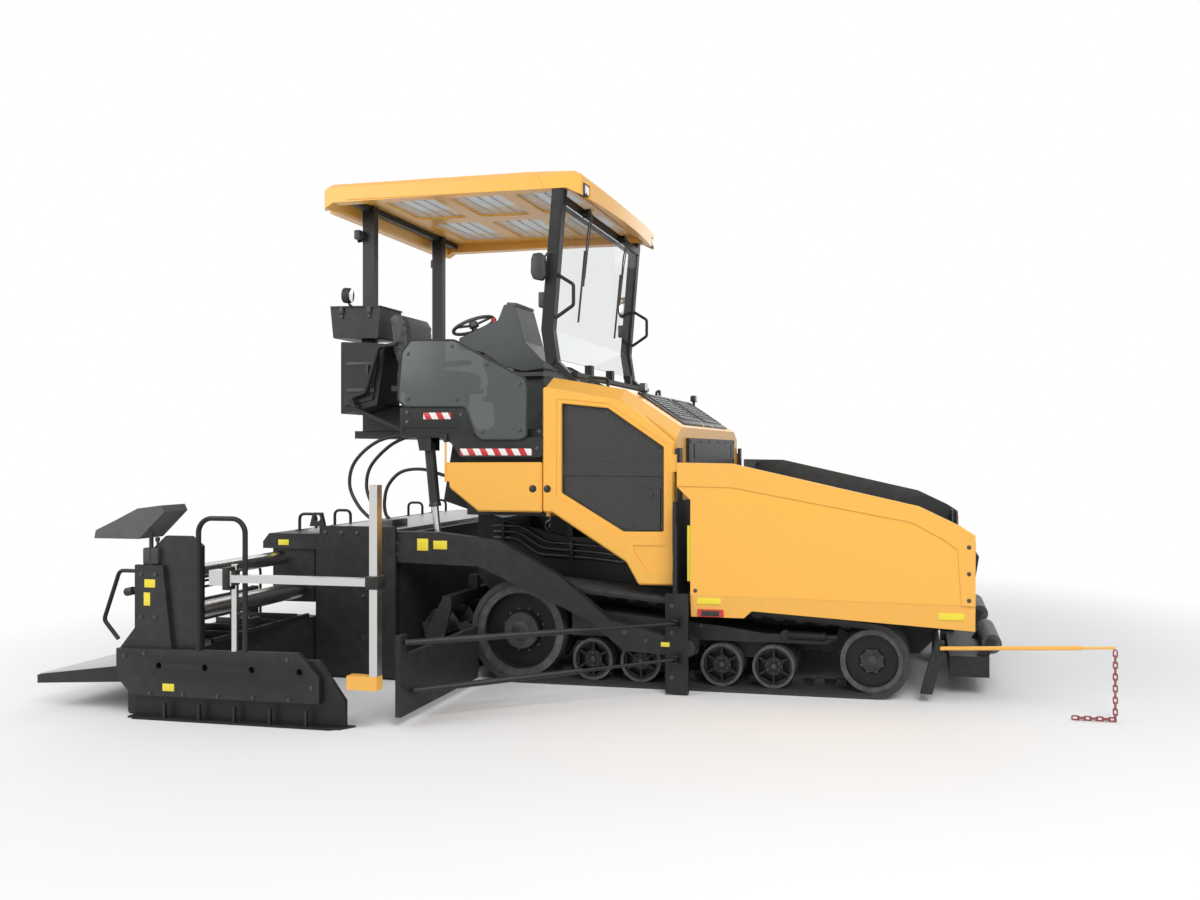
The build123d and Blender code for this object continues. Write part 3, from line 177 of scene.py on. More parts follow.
# Cloudy tone: two noises, one as wide as a hand and one as wide as a panel.
tone_group, given, result = new_group(
    "cloudy_tone",
    (("Colour", COLOUR, (0.8, 0.8, 0.8, 1)), ("Shade", COLOUR, (0.5, 0.5, 0.5, 1)),
     ("Amount", NUMBER, 0.3), ("Scale", NUMBER, 3.0), ("Rough low", NUMBER, 0.3),
     ("Rough high", NUMBER, 0.45)),
    (("Colour", COLOUR), ("Roughness", NUMBER)))
coords = object_coords(tone_group)
wide = add_node(tone_group, "ShaderNodeTexNoise",
                {"Vector": coords, "Scale": given["Scale"], "Detail": 4.0}).outputs["Fac"]
fine = add_node(tone_group, "ShaderNodeTexNoise",
                {"Vector": coords, "Scale": 38.0, "Detail": 3.0}).outputs["Fac"]
weight = number(tone_group, "MULTIPLY", number(tone_group, "MULTIPLY", wide, fine),
                given["Amount"])
rough_range = add_node(tone_group, "ShaderNodeMapRange",
                       {"Value": fine, "To Min": given["Rough low"], "To Max": given["Rough high"]})
set_inputs(tone_group, result,
           {"Colour": mix_colour(tone_group, weight, given["Colour"], given["Shade"]),
            "Roughness": rough_range.outputs["Result"]})

# Skin: a fine bumpiness, given as a normal.
skin_group, given, result = new_group(
    "fine_skin",
    (("Scale", NUMBER, 300.0), ("Strength", NUMBER, 0.1), ("Depth", NUMBER, 0.001)),
    (("Normal", DIRECTION),))
grain = add_node(skin_group, "ShaderNodeTexNoise",
                 {"Vector": object_coords(skin_group), "Scale": given["Scale"], "Detail": 2.0})
bump = add_node(skin_group, "ShaderNodeBump",
                {"Height": grain.outputs["Fac"], "Strength": given["Strength"],
                 "Distance": given["Depth"]})
set_inputs(skin_group, result, {"Normal": bump.outputs["Normal"]})

# Settled dust and worn edges: masks from the way a face looks and from how sharp it is.
dust_group, given, result = new_group(
    "dust_and_wear",
    (("Colour", COLOUR, (0.8, 0.8, 0.8, 1)), ("Dust", COLOUR, (0.35, 0.31, 0.26, 1)),
     ("Dust amount", NUMBER, 0.1), ("Worn", COLOUR, (0.6, 0.6, 0.6, 1)),
     ("Wear amount", NUMBER, 0.1)),
    (("Colour", COLOUR),))
shape = add_node(dust_group, "ShaderNodeNewGeometry", {}).outputs
facing = add_node(dust_group, "ShaderNodeSeparateXYZ", {"Vector": shape["Normal"]})
spots = add_node(dust_group, "ShaderNodeTexNoise",
                 {"Vector": object_coords(dust_group), "Scale": 14.0, "Detail": 6.0}).outputs["Fac"]
upward = add_node(dust_group, "ShaderNodeMapRange",
                  {"Value": facing.outputs["Z"], "From Min": 0.35, "From Max": 1.0})
sharp = add_node(dust_group, "ShaderNodeMapRange",
                 {"Value": shape["Pointiness"], "From Min": 0.53, "From Max": 0.60})
settled = number(dust_group, "MULTIPLY", upward.outputs["Result"], spots)
dusty = number(dust_group, "MULTIPLY", settled, given["Dust amount"])
worn_spots = number(dust_group, "MULTIPLY", sharp.outputs["Result"], spots)
worn = number(dust_group, "MULTIPLY", worn_spots, given["Wear amount"])
dusted = mix_colour(dust_group, dusty, given["Colour"], given["Dust"])
set_inputs(dust_group, result, {"Colour": mix_colour(dust_group, worn, dusted, given["Worn"])})


def finish_material(name, colour, shade, rough, metal=0.0, amount=0.35, dust=0.15,
                    worn=(0.45, 0.45, 0.44), wear=0.2, skin=(300.0, 0.08), **more):
    """A painted, moulded or cast finish: cloudy tone, dust and wear, and a fine skin."""
    paint, tree, shader = new_paint(name)
    tone = add_node(tree, "ShaderNodeGroup",
                    {"Colour": (*colour, 1), "Shade": (*shade, 1), "Amount": amount,
                     "Rough low": rough[0], "Rough high": rough[1]}, node_tree=tone_group)
    weathered = add_node(tree, "ShaderNodeGroup",
                         {"Colour": tone.outputs["Colour"], "Dust amount": dust,
                          "Worn": (*worn, 1), "Wear amount": wear}, node_tree=dust_group)
    peel = add_node(tree, "ShaderNodeGroup", {"Scale": skin[0], "Strength": skin[1]},
                    node_tree=skin_group)
    set_inputs(tree, shader, {"Base Color": weathered.outputs["Colour"],
                              "Roughness": tone.outputs["Roughness"],
                              "Normal": peel.outputs["Normal"], "Metallic": metal})
    set_inputs(tree, shader, {key.replace("_", " "): value for key, value in more.items()})
    return paint


def coat(paint, *node_names):
    """Gives CAD nodes one finish all over."""
    for node_name in node_names:
        piece = bpy.data.objects[node_name]
        piece.data.materials.clear()
        piece.data.materials.append(paint)


yellow = finish_material("yellow_enamel", (0.92, 0.465, 0.070), (0.80, 0.38, 0.05),
                         (0.32, 0.42), dust=0.06, worn=(0.55, 0.36, 0.12), wear=0.25,
                         Coat_Weight=0.10, Coat_Roughness=0.12)
coat(yellow, "hopper_wing_right", "hopper_wing_left", "engine_door_right",
     "engine_door_left", "rear_panel_right", "rear_panel_left", "hood", "canopy_roof")

# ---- Frames and plates: chassis, deck, screed, posts ----------------------------------
# Flame-cut and welded plate and box section in a satin black enamel.
black = finish_material("black_enamel", (0.010, 0.010, 0.0097), (0.006, 0.006, 0.006),
                        (0.38, 0.54), dust=0.03, worn=(0.10, 0.10, 0.10), wear=0.3,
                        skin=(420.0, 0.06), Specular_IOR_Level=0.32)
coat(black, "chassis", "conveyor_floor", "front_crossmember", "tow_posts", "deck",
     "canopy_posts", "screed_frame", "tow_arms", "track_frames",
     "extension_right", "extension_left", "end_gate_right", "end_gate_left",
     "gate_rails_right", "gate_rails_left", "hopper_apron", "limiter_plates", "push_beam",
     "rear_locker", "hood_front_plate", "auger_beam", "braces", "seat_frames", "tank",
     "conveyor", "lift_barrel_right", "lift_barrel_left")

# ---- Tracks and wheels: moulded rubber belt, cast and pressed wheels ------------------
# One endless rubber belt a side over a friction drive wheel, bogie wheels and an idler.
rubber = finish_material("belt_rubber", (0.008, 0.008, 0.008), (0.014, 0.0135, 0.013),
                         (0.62, 0.80), dust=0.12, wear=0.1, skin=(240.0, 0.25))
coat(rubber, "track_right", "track_left")
cast = finish_material("cast_dark", (0.007, 0.007, 0.007), (0.005, 0.005, 0.005),
                       (0.40, 0.60), dust=0.05, wear=0.3, skin=(520.0, 0.16),
                       Specular_IOR_Level=0.32)
coat(cast, "track_wheels_right", "track_wheels_left", "push_roller_right",
     "push_roller_left", "engine_block", "auger_right", "auger_left")

# ---- Bright metal: rods, pins and grade masts -----------------------------------------
# Ground and chromed bar, and zinc-plated tube.
bright = finish_material("bright_metal", (0.62, 0.62, 0.61), (0.48, 0.48, 0.47),
                         (0.24, 0.28), metal=1.0, amount=0.1, dust=0.0, wear=0.0,
                         skin=(260.0, 0.01))
coat(bright, "lift_pins", "lift_rod_right", "lift_rod_left", "grade_mast_right",
     "grade_mast_left")

# ---- Operator's place: seats, console, steering wheel, windscreen ---------------------
# Moulded dark plastic, vinyl-covered foam and clear safety glass.
plastic = finish_material("console_plastic", (0.070, 0.078, 0.078), (0.05, 0.055, 0.055),
                          (0.45, 0.60), dust=0.05, wear=0.1, skin=(700.0, 0.20))
coat(plastic, "console", "steering_wheel")
vinyl = finish_material("seat_vinyl", (0.050, 0.050, 0.048), (0.032, 0.032, 0.031),
                        (0.42, 0.58), dust=0.03, wear=0.1, skin=(900.0, 0.30))
coat(vinyl, "seat_cushions")
glass, tree, shader = new_paint("glass_clear")
film = add_node(tree, "ShaderNodeGroup", {"Rough low": 0.0, "Rough high": 0.05},
                node_tree=tone_group)
set_inputs(tree, shader, {"Base Color": (0.80, 0.82, 0.81, 1), "Transmission Weight": 1.0,
                          "IOR": 1.05, "Roughness": film.outputs["Roughness"]})
coat(glass, "windscreen")

# ---- Guide rod and chain --------------------------------------------------------------
# A yellow telescopic rod and a red painted chain show the driver where the edge lies.
chain_red = finish_material("chain_red", (0.30, 0.018, 0.022), (0.20, 0.012, 0.014),
                            (0.35, 0.5), dust=0.05, wear=0.3)
coat(chain_red, "guide_chain")
coat(yellow, "guide_rod")

# ---- Wing fittings: labels, socket box, scale strip, reflectors -----------------------
# Blank plates are riveted on the lower band. A tin box guards the sensor socket, and a
# yellow scale strip and a red reflector are screwed to the wing's two edges.
SMOOTH_ANGLE = math.radians(35)          # sharper edges than this stay crisp


def turn_out(piece, name, soft):
    """Eases every edge of a raw block or plate and names it."""
    piece.name = name
    bpy.ops.object.transform_apply(location=True, rotation=True, scale=True)
    bpy.ops.object.mode_set(mode="EDIT")
    bpy.ops.mesh.select_all(action="SELECT")
    bpy.ops.mesh.normals_make_consistent(inside=False)
    if soft:
        bpy.ops.mesh.bevel(offset=soft, segments=2, clamp_overlap=True)
    bpy.ops.object.mode_set(mode="OBJECT")
    bpy.ops.object.shade_smooth_by_angle(angle=SMOOTH_ANGLE)
    return piece


def pick(piece):
    """Selects one piece alone and makes it active."""
    deselect()
    piece.select_set(True)
    bpy.context.view_layer.objects.active = piece


def folded_box(name, x, y, z, soft=0.003):
    """A folded or moulded box between pairs of x, y and z, its edges eased."""
    deselect()
    bpy.ops.mesh.primitive_cube_add(size=1, location=(sum(x) / 2, sum(y) / 2, sum(z) / 2))
    piece = bpy.context.object
    piece.scale = (abs(x[1] - x[0]), abs(y[1] - y[0]), abs(z[1] - z[0]))
    return turn_out(piece, name, soft)


def cut_plate(name, outline, y0, y1, soft=0.002):
    """Sheet cut to an outline of x and z, and drawn across from y0 to y1."""
    mesh = bpy.data.meshes.new(name)
    mesh.from_pydata([(x, y0, z) for x, z in outline], [], [range(len(outline))])
    piece = bpy.data.objects.new(name, mesh)
    bpy.context.collection.objects.link(piece)
    pick(piece)
    bpy.ops.object.mode_set(mode="EDIT")
    bpy.ops.mesh.select_all(action="SELECT")
    bpy.ops.mesh.extrude_region_move(TRANSFORM_OT_translate={"value": (0, y1 - y0, 0)})
    bpy.ops.object.mode_set(mode="OBJECT")
    return turn_out(piece, name, soft)


def turned_bar(name, start, end, radius, sides=24, soft=0.0015):
    """A turned pin, boss or rod between two points, its rims chamfered."""
    deselect()
    way = Vector(end) - Vector(start)
    bpy.ops.mesh.primitive_cylinder_add(vertices=sides, radius=radius, depth=way.length,
                                        location=(Vector(start) + Vector(end)) / 2,
                                        rotation=way.to_track_quat("Z", "Y").to_euler())
    piece = bpy.context.object
    piece.name = name
    bpy.ops.object.transform_apply(location=True, rotation=True, scale=True)
    bpy.ops.object.mode_set(mode="EDIT")
    bpy.ops.mesh.select_all(action="DESELECT")
    bpy.ops.object.mode_set(mode="OBJECT")
    for face in piece.data.polygons:
        face.select = len(face.vertices) > 4
    bpy.ops.object.mode_set(mode="EDIT")
    bpy.ops.mesh.bevel(offset=min(soft, radius * 0.4), segments=2)
    bpy.ops.object.mode_set(mode="OBJECT")
    bpy.ops.object.shade_smooth_by_angle(angle=SMOOTH_ANGLE)
    return piece


ARC_STEPS = 6                            # straight bits in each bend of a tube
TUBE_SMOOTH_ANGLE = math.radians(40)


def bent_tube(name, points, radius, bend=0.03):
    """Tube bent through points, each corner an arc of the bend's size."""
    corners = [Vector(point) for point in points]
    run = [corners[0]]
    for before, corner, after in zip(corners, corners[1:], corners[2:]):
        reach = min(bend, (before - corner).length * 0.49, (after - corner).length * 0.49)
        entry = corner + (before - corner).normalized() * reach
        leave = corner + (after - corner).normalized() * reach
        for step in range(ARC_STEPS + 1):
            t = step / ARC_STEPS
            run.append(entry * (1 - t) ** 2 + corner * 2 * t * (1 - t) + leave * t * t)
    run.append(corners[-1])
    wire = bpy.data.curves.new(name, "CURVE")
    wire.dimensions = "3D"
    wire.bevel_depth = radius
    wire.bevel_resolution = 3
    wire.use_fill_caps = True
    line = wire.splines.new("POLY")
    line.points.add(len(run) - 1)
    for spot, place in zip(line.points, run):
        spot.co = (*place, 1)
    piece = bpy.data.objects.new(name, wire)
    bpy.context.collection.objects.link(piece)
    pick(piece)
    bpy.ops.object.convert(target="MESH")
    piece = bpy.context.object
    piece.name = name
    bpy.ops.object.shade_smooth_by_angle(angle=TUBE_SMOOTH_ANGLE)
    return piece


def finish(piece, paint, body="root"):
    """Paints a piece and hands it to the body it moves with."""
    piece.data.materials.clear()
    piece.data.materials.append(paint)
    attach(piece, body)


def fit(name, pieces, paint, body="root"):
    """Welds pieces of one finish into one named piece, and finishes it."""
    deselect()
    for piece in pieces:
        piece.select_set(True)
    bpy.context.view_layer.objects.active = pieces[0]
    if len(pieces) > 1:
        bpy.ops.object.join()
    pieces[0].name = name
    finish(pieces[0], paint, body)


def second_paint(node_name, paint, chosen):
    """Gives the faces of a CAD node that chosen picks, by centre and normal, a new paint."""
    piece = bpy.data.objects[node_name]
    piece.data.materials.append(paint)
    for face in piece.data.polygons:
        if chosen(face.center, face.normal):
            face.material_index = 1


RAY_START = 4.0                          # beyond the machine's side


def surface_y(node_name, x, z, side):
    """Where a line from outside meets a CAD node at x and z, as its y."""
    node = bpy.data.objects[node_name]
    hit, place, _, _ = node.ray_cast(Vector((x, side * RAY_START, z)), Vector((0, -side, 0)))
    return place.y if hit else None


def on_surface(node_name, spots, side, outside=0.0):
    """Places (x, y, z, side) on a CAD node's outer face, at the spots it covers."""
    places = [(x, surface_y(node_name, x, z, side), z, side) for x, z in spots]
    return [place for place in places if place[1] is not None and abs(place[1]) > outside]


label_yellow = finish_material("label_yellow", (0.85, 0.70, 0.03), (0.70, 0.56, 0.03),
                               (0.30, 0.42), dust=0.02, wear=0.1)
label_black = finish_material("label_black", (0.014, 0.014, 0.014), (0.02, 0.02, 0.02),
                              (0.30, 0.45), dust=0.02, wear=0.1)
signal_red = finish_material("signal_red", (0.55, 0.02, 0.02), (0.42, 0.015, 0.015),
                             (0.18, 0.28), dust=0.02, wear=0.1)
bolt_dark = finish_material("bolt_black", (0.05, 0.05, 0.05), (0.03, 0.03, 0.03),
                            (0.28, 0.42), metal=0.6, dust=0.03, wear=0.3)


def hex_bolts(name, places, across, head, body="root"):
    """Hexagon heads on washers, standing out along y from each place (x, y, z, side)."""
    heads = []
    for x, y, z, side in places:
        heads.append(turned_bar(name, (x, y - side * 0.002, z), (x, y + side * 0.002, z),
                                across * 0.68, 16, 0.0006))
        heads.append(turned_bar(name, (x, y, z), (x, y + side * head, z), across / 2, 6, 0.0012))
    fit(name, heads, bolt_dark, body)


for side_name, s in SIDES:
    wing = f"hopper_wing_{side_name}"
    plates = []
    for x0, x1, z0, z1 in ((0.712, 0.874, 0.616, 0.658), (2.300, 2.462, 0.560, 0.604)):
        y = surface_y(wing, (x0 + x1) / 2, (z0 + z1) / 2, s)
        plates.append(folded_box("plate", (x0, x1), (y - s * 0.009, y + s * 0.0035),
                                 (z0, z1), 0.001))
    strip_y = surface_y(wing, 0.655, 1.36, s)
    plates.append(folded_box("plate", (0.640, 0.664), (strip_y - s * 0.03, strip_y - s * 0.018),
                             (0.765, 1.140), 0.001))
    fit(f"wing_labels_{side_name}", plates, label_yellow, wing)
    socket_y = surface_y(wing, 0.80, 0.555, s)
    finish(folded_box(f"socket_rim_{side_name}", (0.712, 0.890),
                      (socket_y - s * 0.02, socket_y + s * 0.010), (0.528, 0.580), 0.004),
           signal_red, wing)
    socket_parts = [folded_box("box", (0.742, 0.862), (socket_y, socket_y + s * 0.018),
                               (0.537, 0.571), 0.004)]
    socket_parts += [turned_bar("plug", (x, socket_y, 0.554), (x, socket_y + s * 0.027, 0.554),
                                0.012, 20) for x in (0.778, 0.826)]
    fit(f"socket_box_{side_name}", socket_parts, label_black, wing)
    reflector_y = s * 1.215
    finish(folded_box(f"wing_reflector_{side_name}", (2.526, 2.534),
                      (reflector_y - s * 0.02, reflector_y + s * 0.02), (0.93, 1.06), 0.002),
           signal_red, wing)
    wing_spots = ((2.490, 0.690), (2.490, 0.860), (2.490, 1.030), (0.700, 0.705))
    hex_bolts(f"wing_bolts_{side_name}", on_surface(wing, wing_spots, s), 0.020, 0.008, wing)

# The wings are black inside, where hot asphalt lies against bare scraped plate.
bowl_black = finish_material("bowl_black", (0.022, 0.022, 0.022), (0.05, 0.048, 0.045),
                             (0.42, 0.62), dust=0.12, wear=0.5, skin=(160.0, 0.2))
for side_name, s in SIDES:
    second_paint(f"hopper_wing_{side_name}", bowl_black, lambda centre, normal:
                 (normal.y * s < -0.2 and abs(centre.y) < 1.25)
                 or (abs(centre.y) < 1.20 and centre.x < 2.50))

# ---- Engine doors: perforated sheet, latches, gasket and corner bolts ------------------
# Yellow doors frame a black perforated sheet. The round holes are punched in staggered
# rows and seen as a pattern. A paddle latch with a key closes each door and rear panel.
hole_pitch, hole_reach = 0.0125, 0.36    # the reach is a share of the pitch
grille_paint, tree, shader = new_paint("perforated_sheet")
axes = add_node(tree, "ShaderNodeSeparateXYZ", {0: object_coords(tree)}).outputs
column = number(tree, "DIVIDE", axes["X"], hole_pitch)
odd = number(tree, "FLOORED_MODULO", number(tree, "FLOOR", column), 2.0)
row = number(tree, "ADD", number(tree, "DIVIDE", axes["Z"], hole_pitch * 1.15),
             number(tree, "MULTIPLY", odd, 0.5))
across = number(tree, "SUBTRACT", number(tree, "FRACT", column), 0.5)
up = number(tree, "SUBTRACT", number(tree, "FRACT", row), 0.5)
far = number(tree, "SQRT", number(tree, "ADD", number(tree, "MULTIPLY", across, across),
                                  number(tree, "MULTIPLY", up, up)))
hole = number(tree, "LESS_THAN", far, hole_reach)
dent = add_node(tree, "ShaderNodeBump", {"Height": hole, "Strength": 0.6, "Distance": 0.002},
                invert=True)
# The holes are not cut: their near-black colour is painted shade, for the dark bay seen through
# them.
set_inputs(tree, shader, {
    "Base Color": mix_colour(tree, hole, (0.045, 0.045, 0.044, 1), (0.006, 0.006, 0.006, 1)),
    "Roughness": 0.45, "Normal": dent.outputs["Normal"]})
coat(grille_paint, "door_grille_right", "door_grille_left")

door_face = 1.120                        # y of the doors' mesh
gasket = [(-0.293, 1.978), (0.050, 1.941), (0.450, 1.671), (0.450, 1.086), (0.160, 1.083),
          (-0.293, 1.348), (-0.293, 1.978)]
mesh_screws = ((-0.27, 1.90), (-0.27, 1.42), (0.17, 1.11), (0.43, 1.11), (0.43, 1.64),
               (0.04, 1.91), (-0.27, 1.52), (0.43, 1.52))
for side_name, s in SIDES:
    door, panel = f"engine_door_{side_name}", f"rear_panel_{side_name}"
    for body, x in ((door, -0.394), (panel, -0.502)):
        fit(f"latch_{body}", [
            turned_bar("rose", (x, s * 1.148, 1.376), (x, s * 1.163, 1.376), 0.024, 28),
            cut_plate("paddle", [(x - 0.006, 1.392), (x + 0.006, 1.392), (x + 0.009, 1.362),
                                 (x - 0.009, 1.362)], s * 1.160, s * 1.169, 0.002)],
            label_black, body)
    finish(bent_tube(f"door_gasket_{side_name}",
                     [(x, s * (door_face + 0.005), z) for x, z in gasket], 0.006, 0.02),
           rubber, door)
    hex_bolts(f"grille_bolts_{side_name}", [(x, s * door_face, z, s) for x, z in mesh_screws],
              0.014, 0.005, door)
    fit(f"access_screws_{side_name}",
        [turned_bar("cap", (0.285, s * 1.112, z), (0.285, s * 1.127, z), 0.007, 14)
         for z in (1.24, 1.12)], bolt_dark, door)

# ---- Striped warning tape on the deck's sides ------------------------------------------
# Reflecting tape in slanting red and white bars, stuck along the deck's side plate.
deck_side = 1.150                        # y of the deck's side plate
tape, tree, shader = new_paint("striped_tape")
axes = add_node(tree, "ShaderNodeSeparateXYZ", {0: object_coords(tree)}).outputs
slant = number(tree, "ADD", axes["X"], number(tree, "MULTIPLY", axes["Z"], 0.55))
bar = number(tree, "LESS_THAN", number(tree, "FRACT", number(tree, "DIVIDE", slant, 0.098)), 0.5)
bars = mix_colour(tree, bar, (0.80, 0.80, 0.78, 1), (0.55, 0.015, 0.02, 1))
grain = add_node(tree, "ShaderNodeGroup",
                 {"Dust amount": 0.05, "Wear amount": 0.05, "Colour": bars}, node_tree=dust_group)
set_inputs(tree, shader, {"Base Color": grain.outputs["Colour"], "Roughness": 0.35})
for side_name, s in SIDES:
    strips = []
    for x0, x1, z0, z1 in ((-1.060, -0.514, 1.612, 1.660), (-1.345, -1.130, 1.872, 1.920)):
        y = surface_y("deck", (x0 + x1) / 2, (z0 + z1) / 2, s) or s * deck_side
        strips.append(folded_box("strip", (x0, x1), (y - s * 0.001, y + s * 0.002),
                                 (z0, z1), 0.0004))
    fit(f"striped_tape_{side_name}", strips, tape, "root")

# ---- Side guards: smoked sheets with a rubber edge and eight bolts ---------------------
# Tinted clear plastic sheets stand beside the seats. Their edge is covered by a black
# rubber profile, and hexagon bolts with washers hold them to the deck's frame.
tinted = finish_material("tinted_sheet", (0.085, 0.098, 0.094), (0.07, 0.08, 0.078),
                         (0.10, 0.18), dust=0.02, wear=0.0, skin=(200.0, 0.01), Alpha=0.80)
coat(tinted, "side_guards")
guard_edge = [(-0.829, 2.290), (-0.562, 2.158), (-0.543, 2.095), (-0.550, 1.745), (-0.604, 1.723),
              (-0.896, 1.724), (-0.941, 1.764), (-1.018, 1.960), (-1.487, 1.964), (-1.543, 2.016),
              (-1.511, 2.358), (-1.438, 2.447), (-1.100, 2.439), (-0.829, 2.290)]
guard_bolts = ((-1.460, 2.345), (-1.120, 2.395), (-0.850, 2.262), (-0.600, 2.120), (-0.600, 1.790),
               (-0.880, 1.780), (-1.080, 2.010), (-1.460, 2.020))
guard_y, guard_face = 1.154, 1.158       # the sheet's middle and its outer face
for side_name, s in SIDES:
    finish(bent_tube(f"guard_trim_{side_name}", [(x, s * guard_y, z) for x, z in guard_edge],
                     0.008, 0.02), rubber, "root")
    hex_bolts(f"guard_bolts_{side_name}", [(x, s * guard_face, z, s) for x, z in guard_bolts],
              0.020, 0.007)

# ---- Skylights: frosted panes with moulded ribs ----------------------------------------
# Six pale polycarbonate panes let light through the roof; ribs stiffen each from below.
frosted = finish_material("frosted_pane", (0.66, 0.69, 0.69), (0.58, 0.61, 0.61), (0.42, 0.55),
                          dust=0.02, wear=0.0, skin=(90.0, 0.15), Alpha=0.55)
coat(frosted, "roof_skylights")
pane_ribs = [folded_box("rib", (x + shift - 0.004, x + shift + 0.004), (y - 0.33, y + 0.33),
                        (3.608, 3.6215), 0.0015)
             for x in (-1.750, -1.190, -0.630) for y in (-0.430, 0.430)
             for shift in (-0.105, 0.0, 0.105)]
fit("skylight_ribs", pane_ribs, frosted, "root")

# ---- Roof and post fittings: work lamps, mirrors, wipers -------------------------------
# Square work lamps sit in the roof's corners. Mirrors in black shells stand on the posts,
# and two wipers with sprung arms hang from motors on the top rail.
lens = finish_material("lamp_lens", (0.78, 0.79, 0.80), (0.66, 0.67, 0.68), (0.08, 0.16),
                       dust=0.0, wear=0.0, skin=(60.0, 0.3))
mirror_glass = finish_material("mirror_glass", (0.80, 0.81, 0.82), (0.75, 0.76, 0.77), (0.02, 0.05),
                               metal=1.0, dust=0.0, wear=0.0, skin=(20.0, 0.0))
shell_black = finish_material("moulded_black", (0.016, 0.016, 0.016), (0.024, 0.024, 0.024),
                              (0.40, 0.55), dust=0.03, wear=0.1, skin=(600.0, 0.15))


def work_lamp(name, place, look, half):
    """A square lamp: ribbed shell, bezel and lens, looking along x by its sign."""
    x, y, z = place
    shell = folded_box("shell", (x - look * half * 0.9, x + look * half * 0.25),
                       (y - half, y + half), (z - half * 0.82, z + half * 0.82), half * 0.16)
    fins = [folded_box("fin", (x - look * half * 1.15, x - look * half * 0.5),
                       (y + half * step - 0.002, y + half * step + 0.002),
                       (z - half * 0.6, z + half * 0.6), 0.0008) for step in (-0.6, -0.2, 0.2, 0.6)]
    fit(name, [shell] + fins, shell_black)
    glow = folded_box(f"{name}_lens", (x + look * half * 0.2, x + look * half * 0.34),
                      (y - half * 0.82, y + half * 0.82), (z - half * 0.64, z + half * 0.64), 0.003)
    finish(glow, lens, "root")


for side_name, s in SIDES:
    work_lamp(f"roof_lamp_front_{side_name}", (-0.215, s * 0.875, 3.545), 1, 0.046)
    work_lamp(f"roof_lamp_rear_{side_name}", (-2.285, s * 0.840, 3.530), -1, 0.036)
    work_lamp(f"post_lamp_{side_name}", (-2.215, s * 0.600, 3.360), -1, 0.045)
    work_lamp(f"hood_lamp_{side_name}", (0.215, s * 0.800, 2.108), 1, 0.036)
    lamp_arms = [
        bent_tube("arm", [(-2.190, s * 0.560, 3.330), (-2.215, s * 0.600, 3.310),
                          (-2.215, s * 0.600, 3.330)], 0.009, 0.01),
        turned_bar("arm", (0.200, s * 0.800, 2.010), (0.200, s * 0.800, 2.088), 0.012)]
    fit(f"lamp_arms_{side_name}", lamp_arms, shell_black)
    fit(f"mirror_{side_name}", [
        cut_plate("shell", [(-0.560, 2.885), (-0.490, 2.870), (-0.462, 2.905), (-0.468, 3.040),
                            (-0.500, 3.075), (-0.560, 3.070), (-0.575, 3.030), (-0.578, 2.930)],
                  s * 0.985, s * 1.030, 0.012),
        bent_tube("stem", [(-0.430, s * 0.960, 3.080), (-0.455, s * 0.990, 3.080),
                           (-0.480, s * 1.005, 3.040)], 0.008, 0.02)], shell_black)
    finish(cut_plate(f"mirror_face_{side_name}",
                     [(-0.556, 2.895), (-0.492, 2.882), (-0.472, 2.912), (-0.478, 3.036),
                      (-0.504, 3.063), (-0.556, 3.060)], s * 0.979, s * 0.986, 0.001),
           mirror_glass, "root")
    finish(folded_box(f"post_box_{side_name}", (-0.545, -0.468), (s * 0.900, s * 0.960),
                      (2.690, 2.800), 0.006), shell_black)
fit("rear_mirror", [
    bent_tube("stem", [(-2.060, -0.880, 2.730), (-2.085, -0.930, 2.760), (-2.090, -0.930, 2.800)],
              0.009, 0.02),
    turned_bar("shell", (-2.060, -0.930, 2.822), (-2.120, -0.945, 2.826), 0.058, 32, 0.012)],
    shell_black)
finish(turned_bar("rear_mirror_face", (-2.056, -0.929, 2.8217), (-2.062, -0.9305, 2.8222),
                  0.050, 32), mirror_glass, "root")
glass_top_x, glass_top_z = -0.355, 3.438
glass_knee_z, glass_lean = 2.525, 0.089  # the glass leans back by this down to its knee


def glass_x(z):
    """The windscreen's outer face at a height, above its knee."""
    return glass_top_x - (glass_top_z - z) / (glass_top_z - glass_knee_z) * glass_lean


wiper_parts = []
lean = 0.10                              # each arm reaches this far across
for y, low, high in ((-0.560, 2.640, 3.200), (0.340, 2.620, 3.180)):
    wiper_parts += [
        bent_tube("arm", [(glass_x(3.45) + 0.075, y, 3.460),
                          (glass_x(3.3) + 0.045, y + lean * 0.3, 3.300),
                          (glass_x(2.92) + 0.026, y + lean, 2.920)], 0.006, 0.05),
        bent_tube("arm", [(glass_x(3.45) + 0.075, y + 0.03, 3.455),
                          (glass_x(3.25) + 0.045, y + 0.03 + lean * 0.4, 3.250),
                          (glass_x(2.98) + 0.026, y + lean + 0.01, 2.980)], 0.0045, 0.05),
        cut_plate("blade", [(glass_x(low) + 0.003, low), (glass_x(low) + 0.017, low + 0.006),
                            (glass_x(high) + 0.017, high - 0.006), (glass_x(high) + 0.003, high)],
                  y + lean - 0.007, y + lean + 0.007, 0.002)]
fit("wipers", wiper_parts, shell_black)

# ---- Hood: black intake panel, grab rail and front plate bolts -------------------------
# The sloping face carries a black moulded panel with two meshed air intakes, and bolts
# hold the front plate. A bent rail is screwed to the top for climbing up.
slope_top = (0.127, 2.082)               # x and z where the sloping face starts
hood_slope = (2.082 - 1.812) / (0.535 - 0.127)


def slope_z(x, rise=0.0):
    """Height of the hood's sloping face at x, with a rise above it."""
    return slope_top[1] - (x - slope_top[0]) * hood_slope + rise


def on_slope(x0, x1, low, high):
    """Outline of a strip on the sloping face between x0 and x1, from low to high above it."""
    return [(x0, slope_z(x0, low)), (x1, slope_z(x1, low)), (x1, slope_z(x1, high)),
            (x0, slope_z(x0, high))]


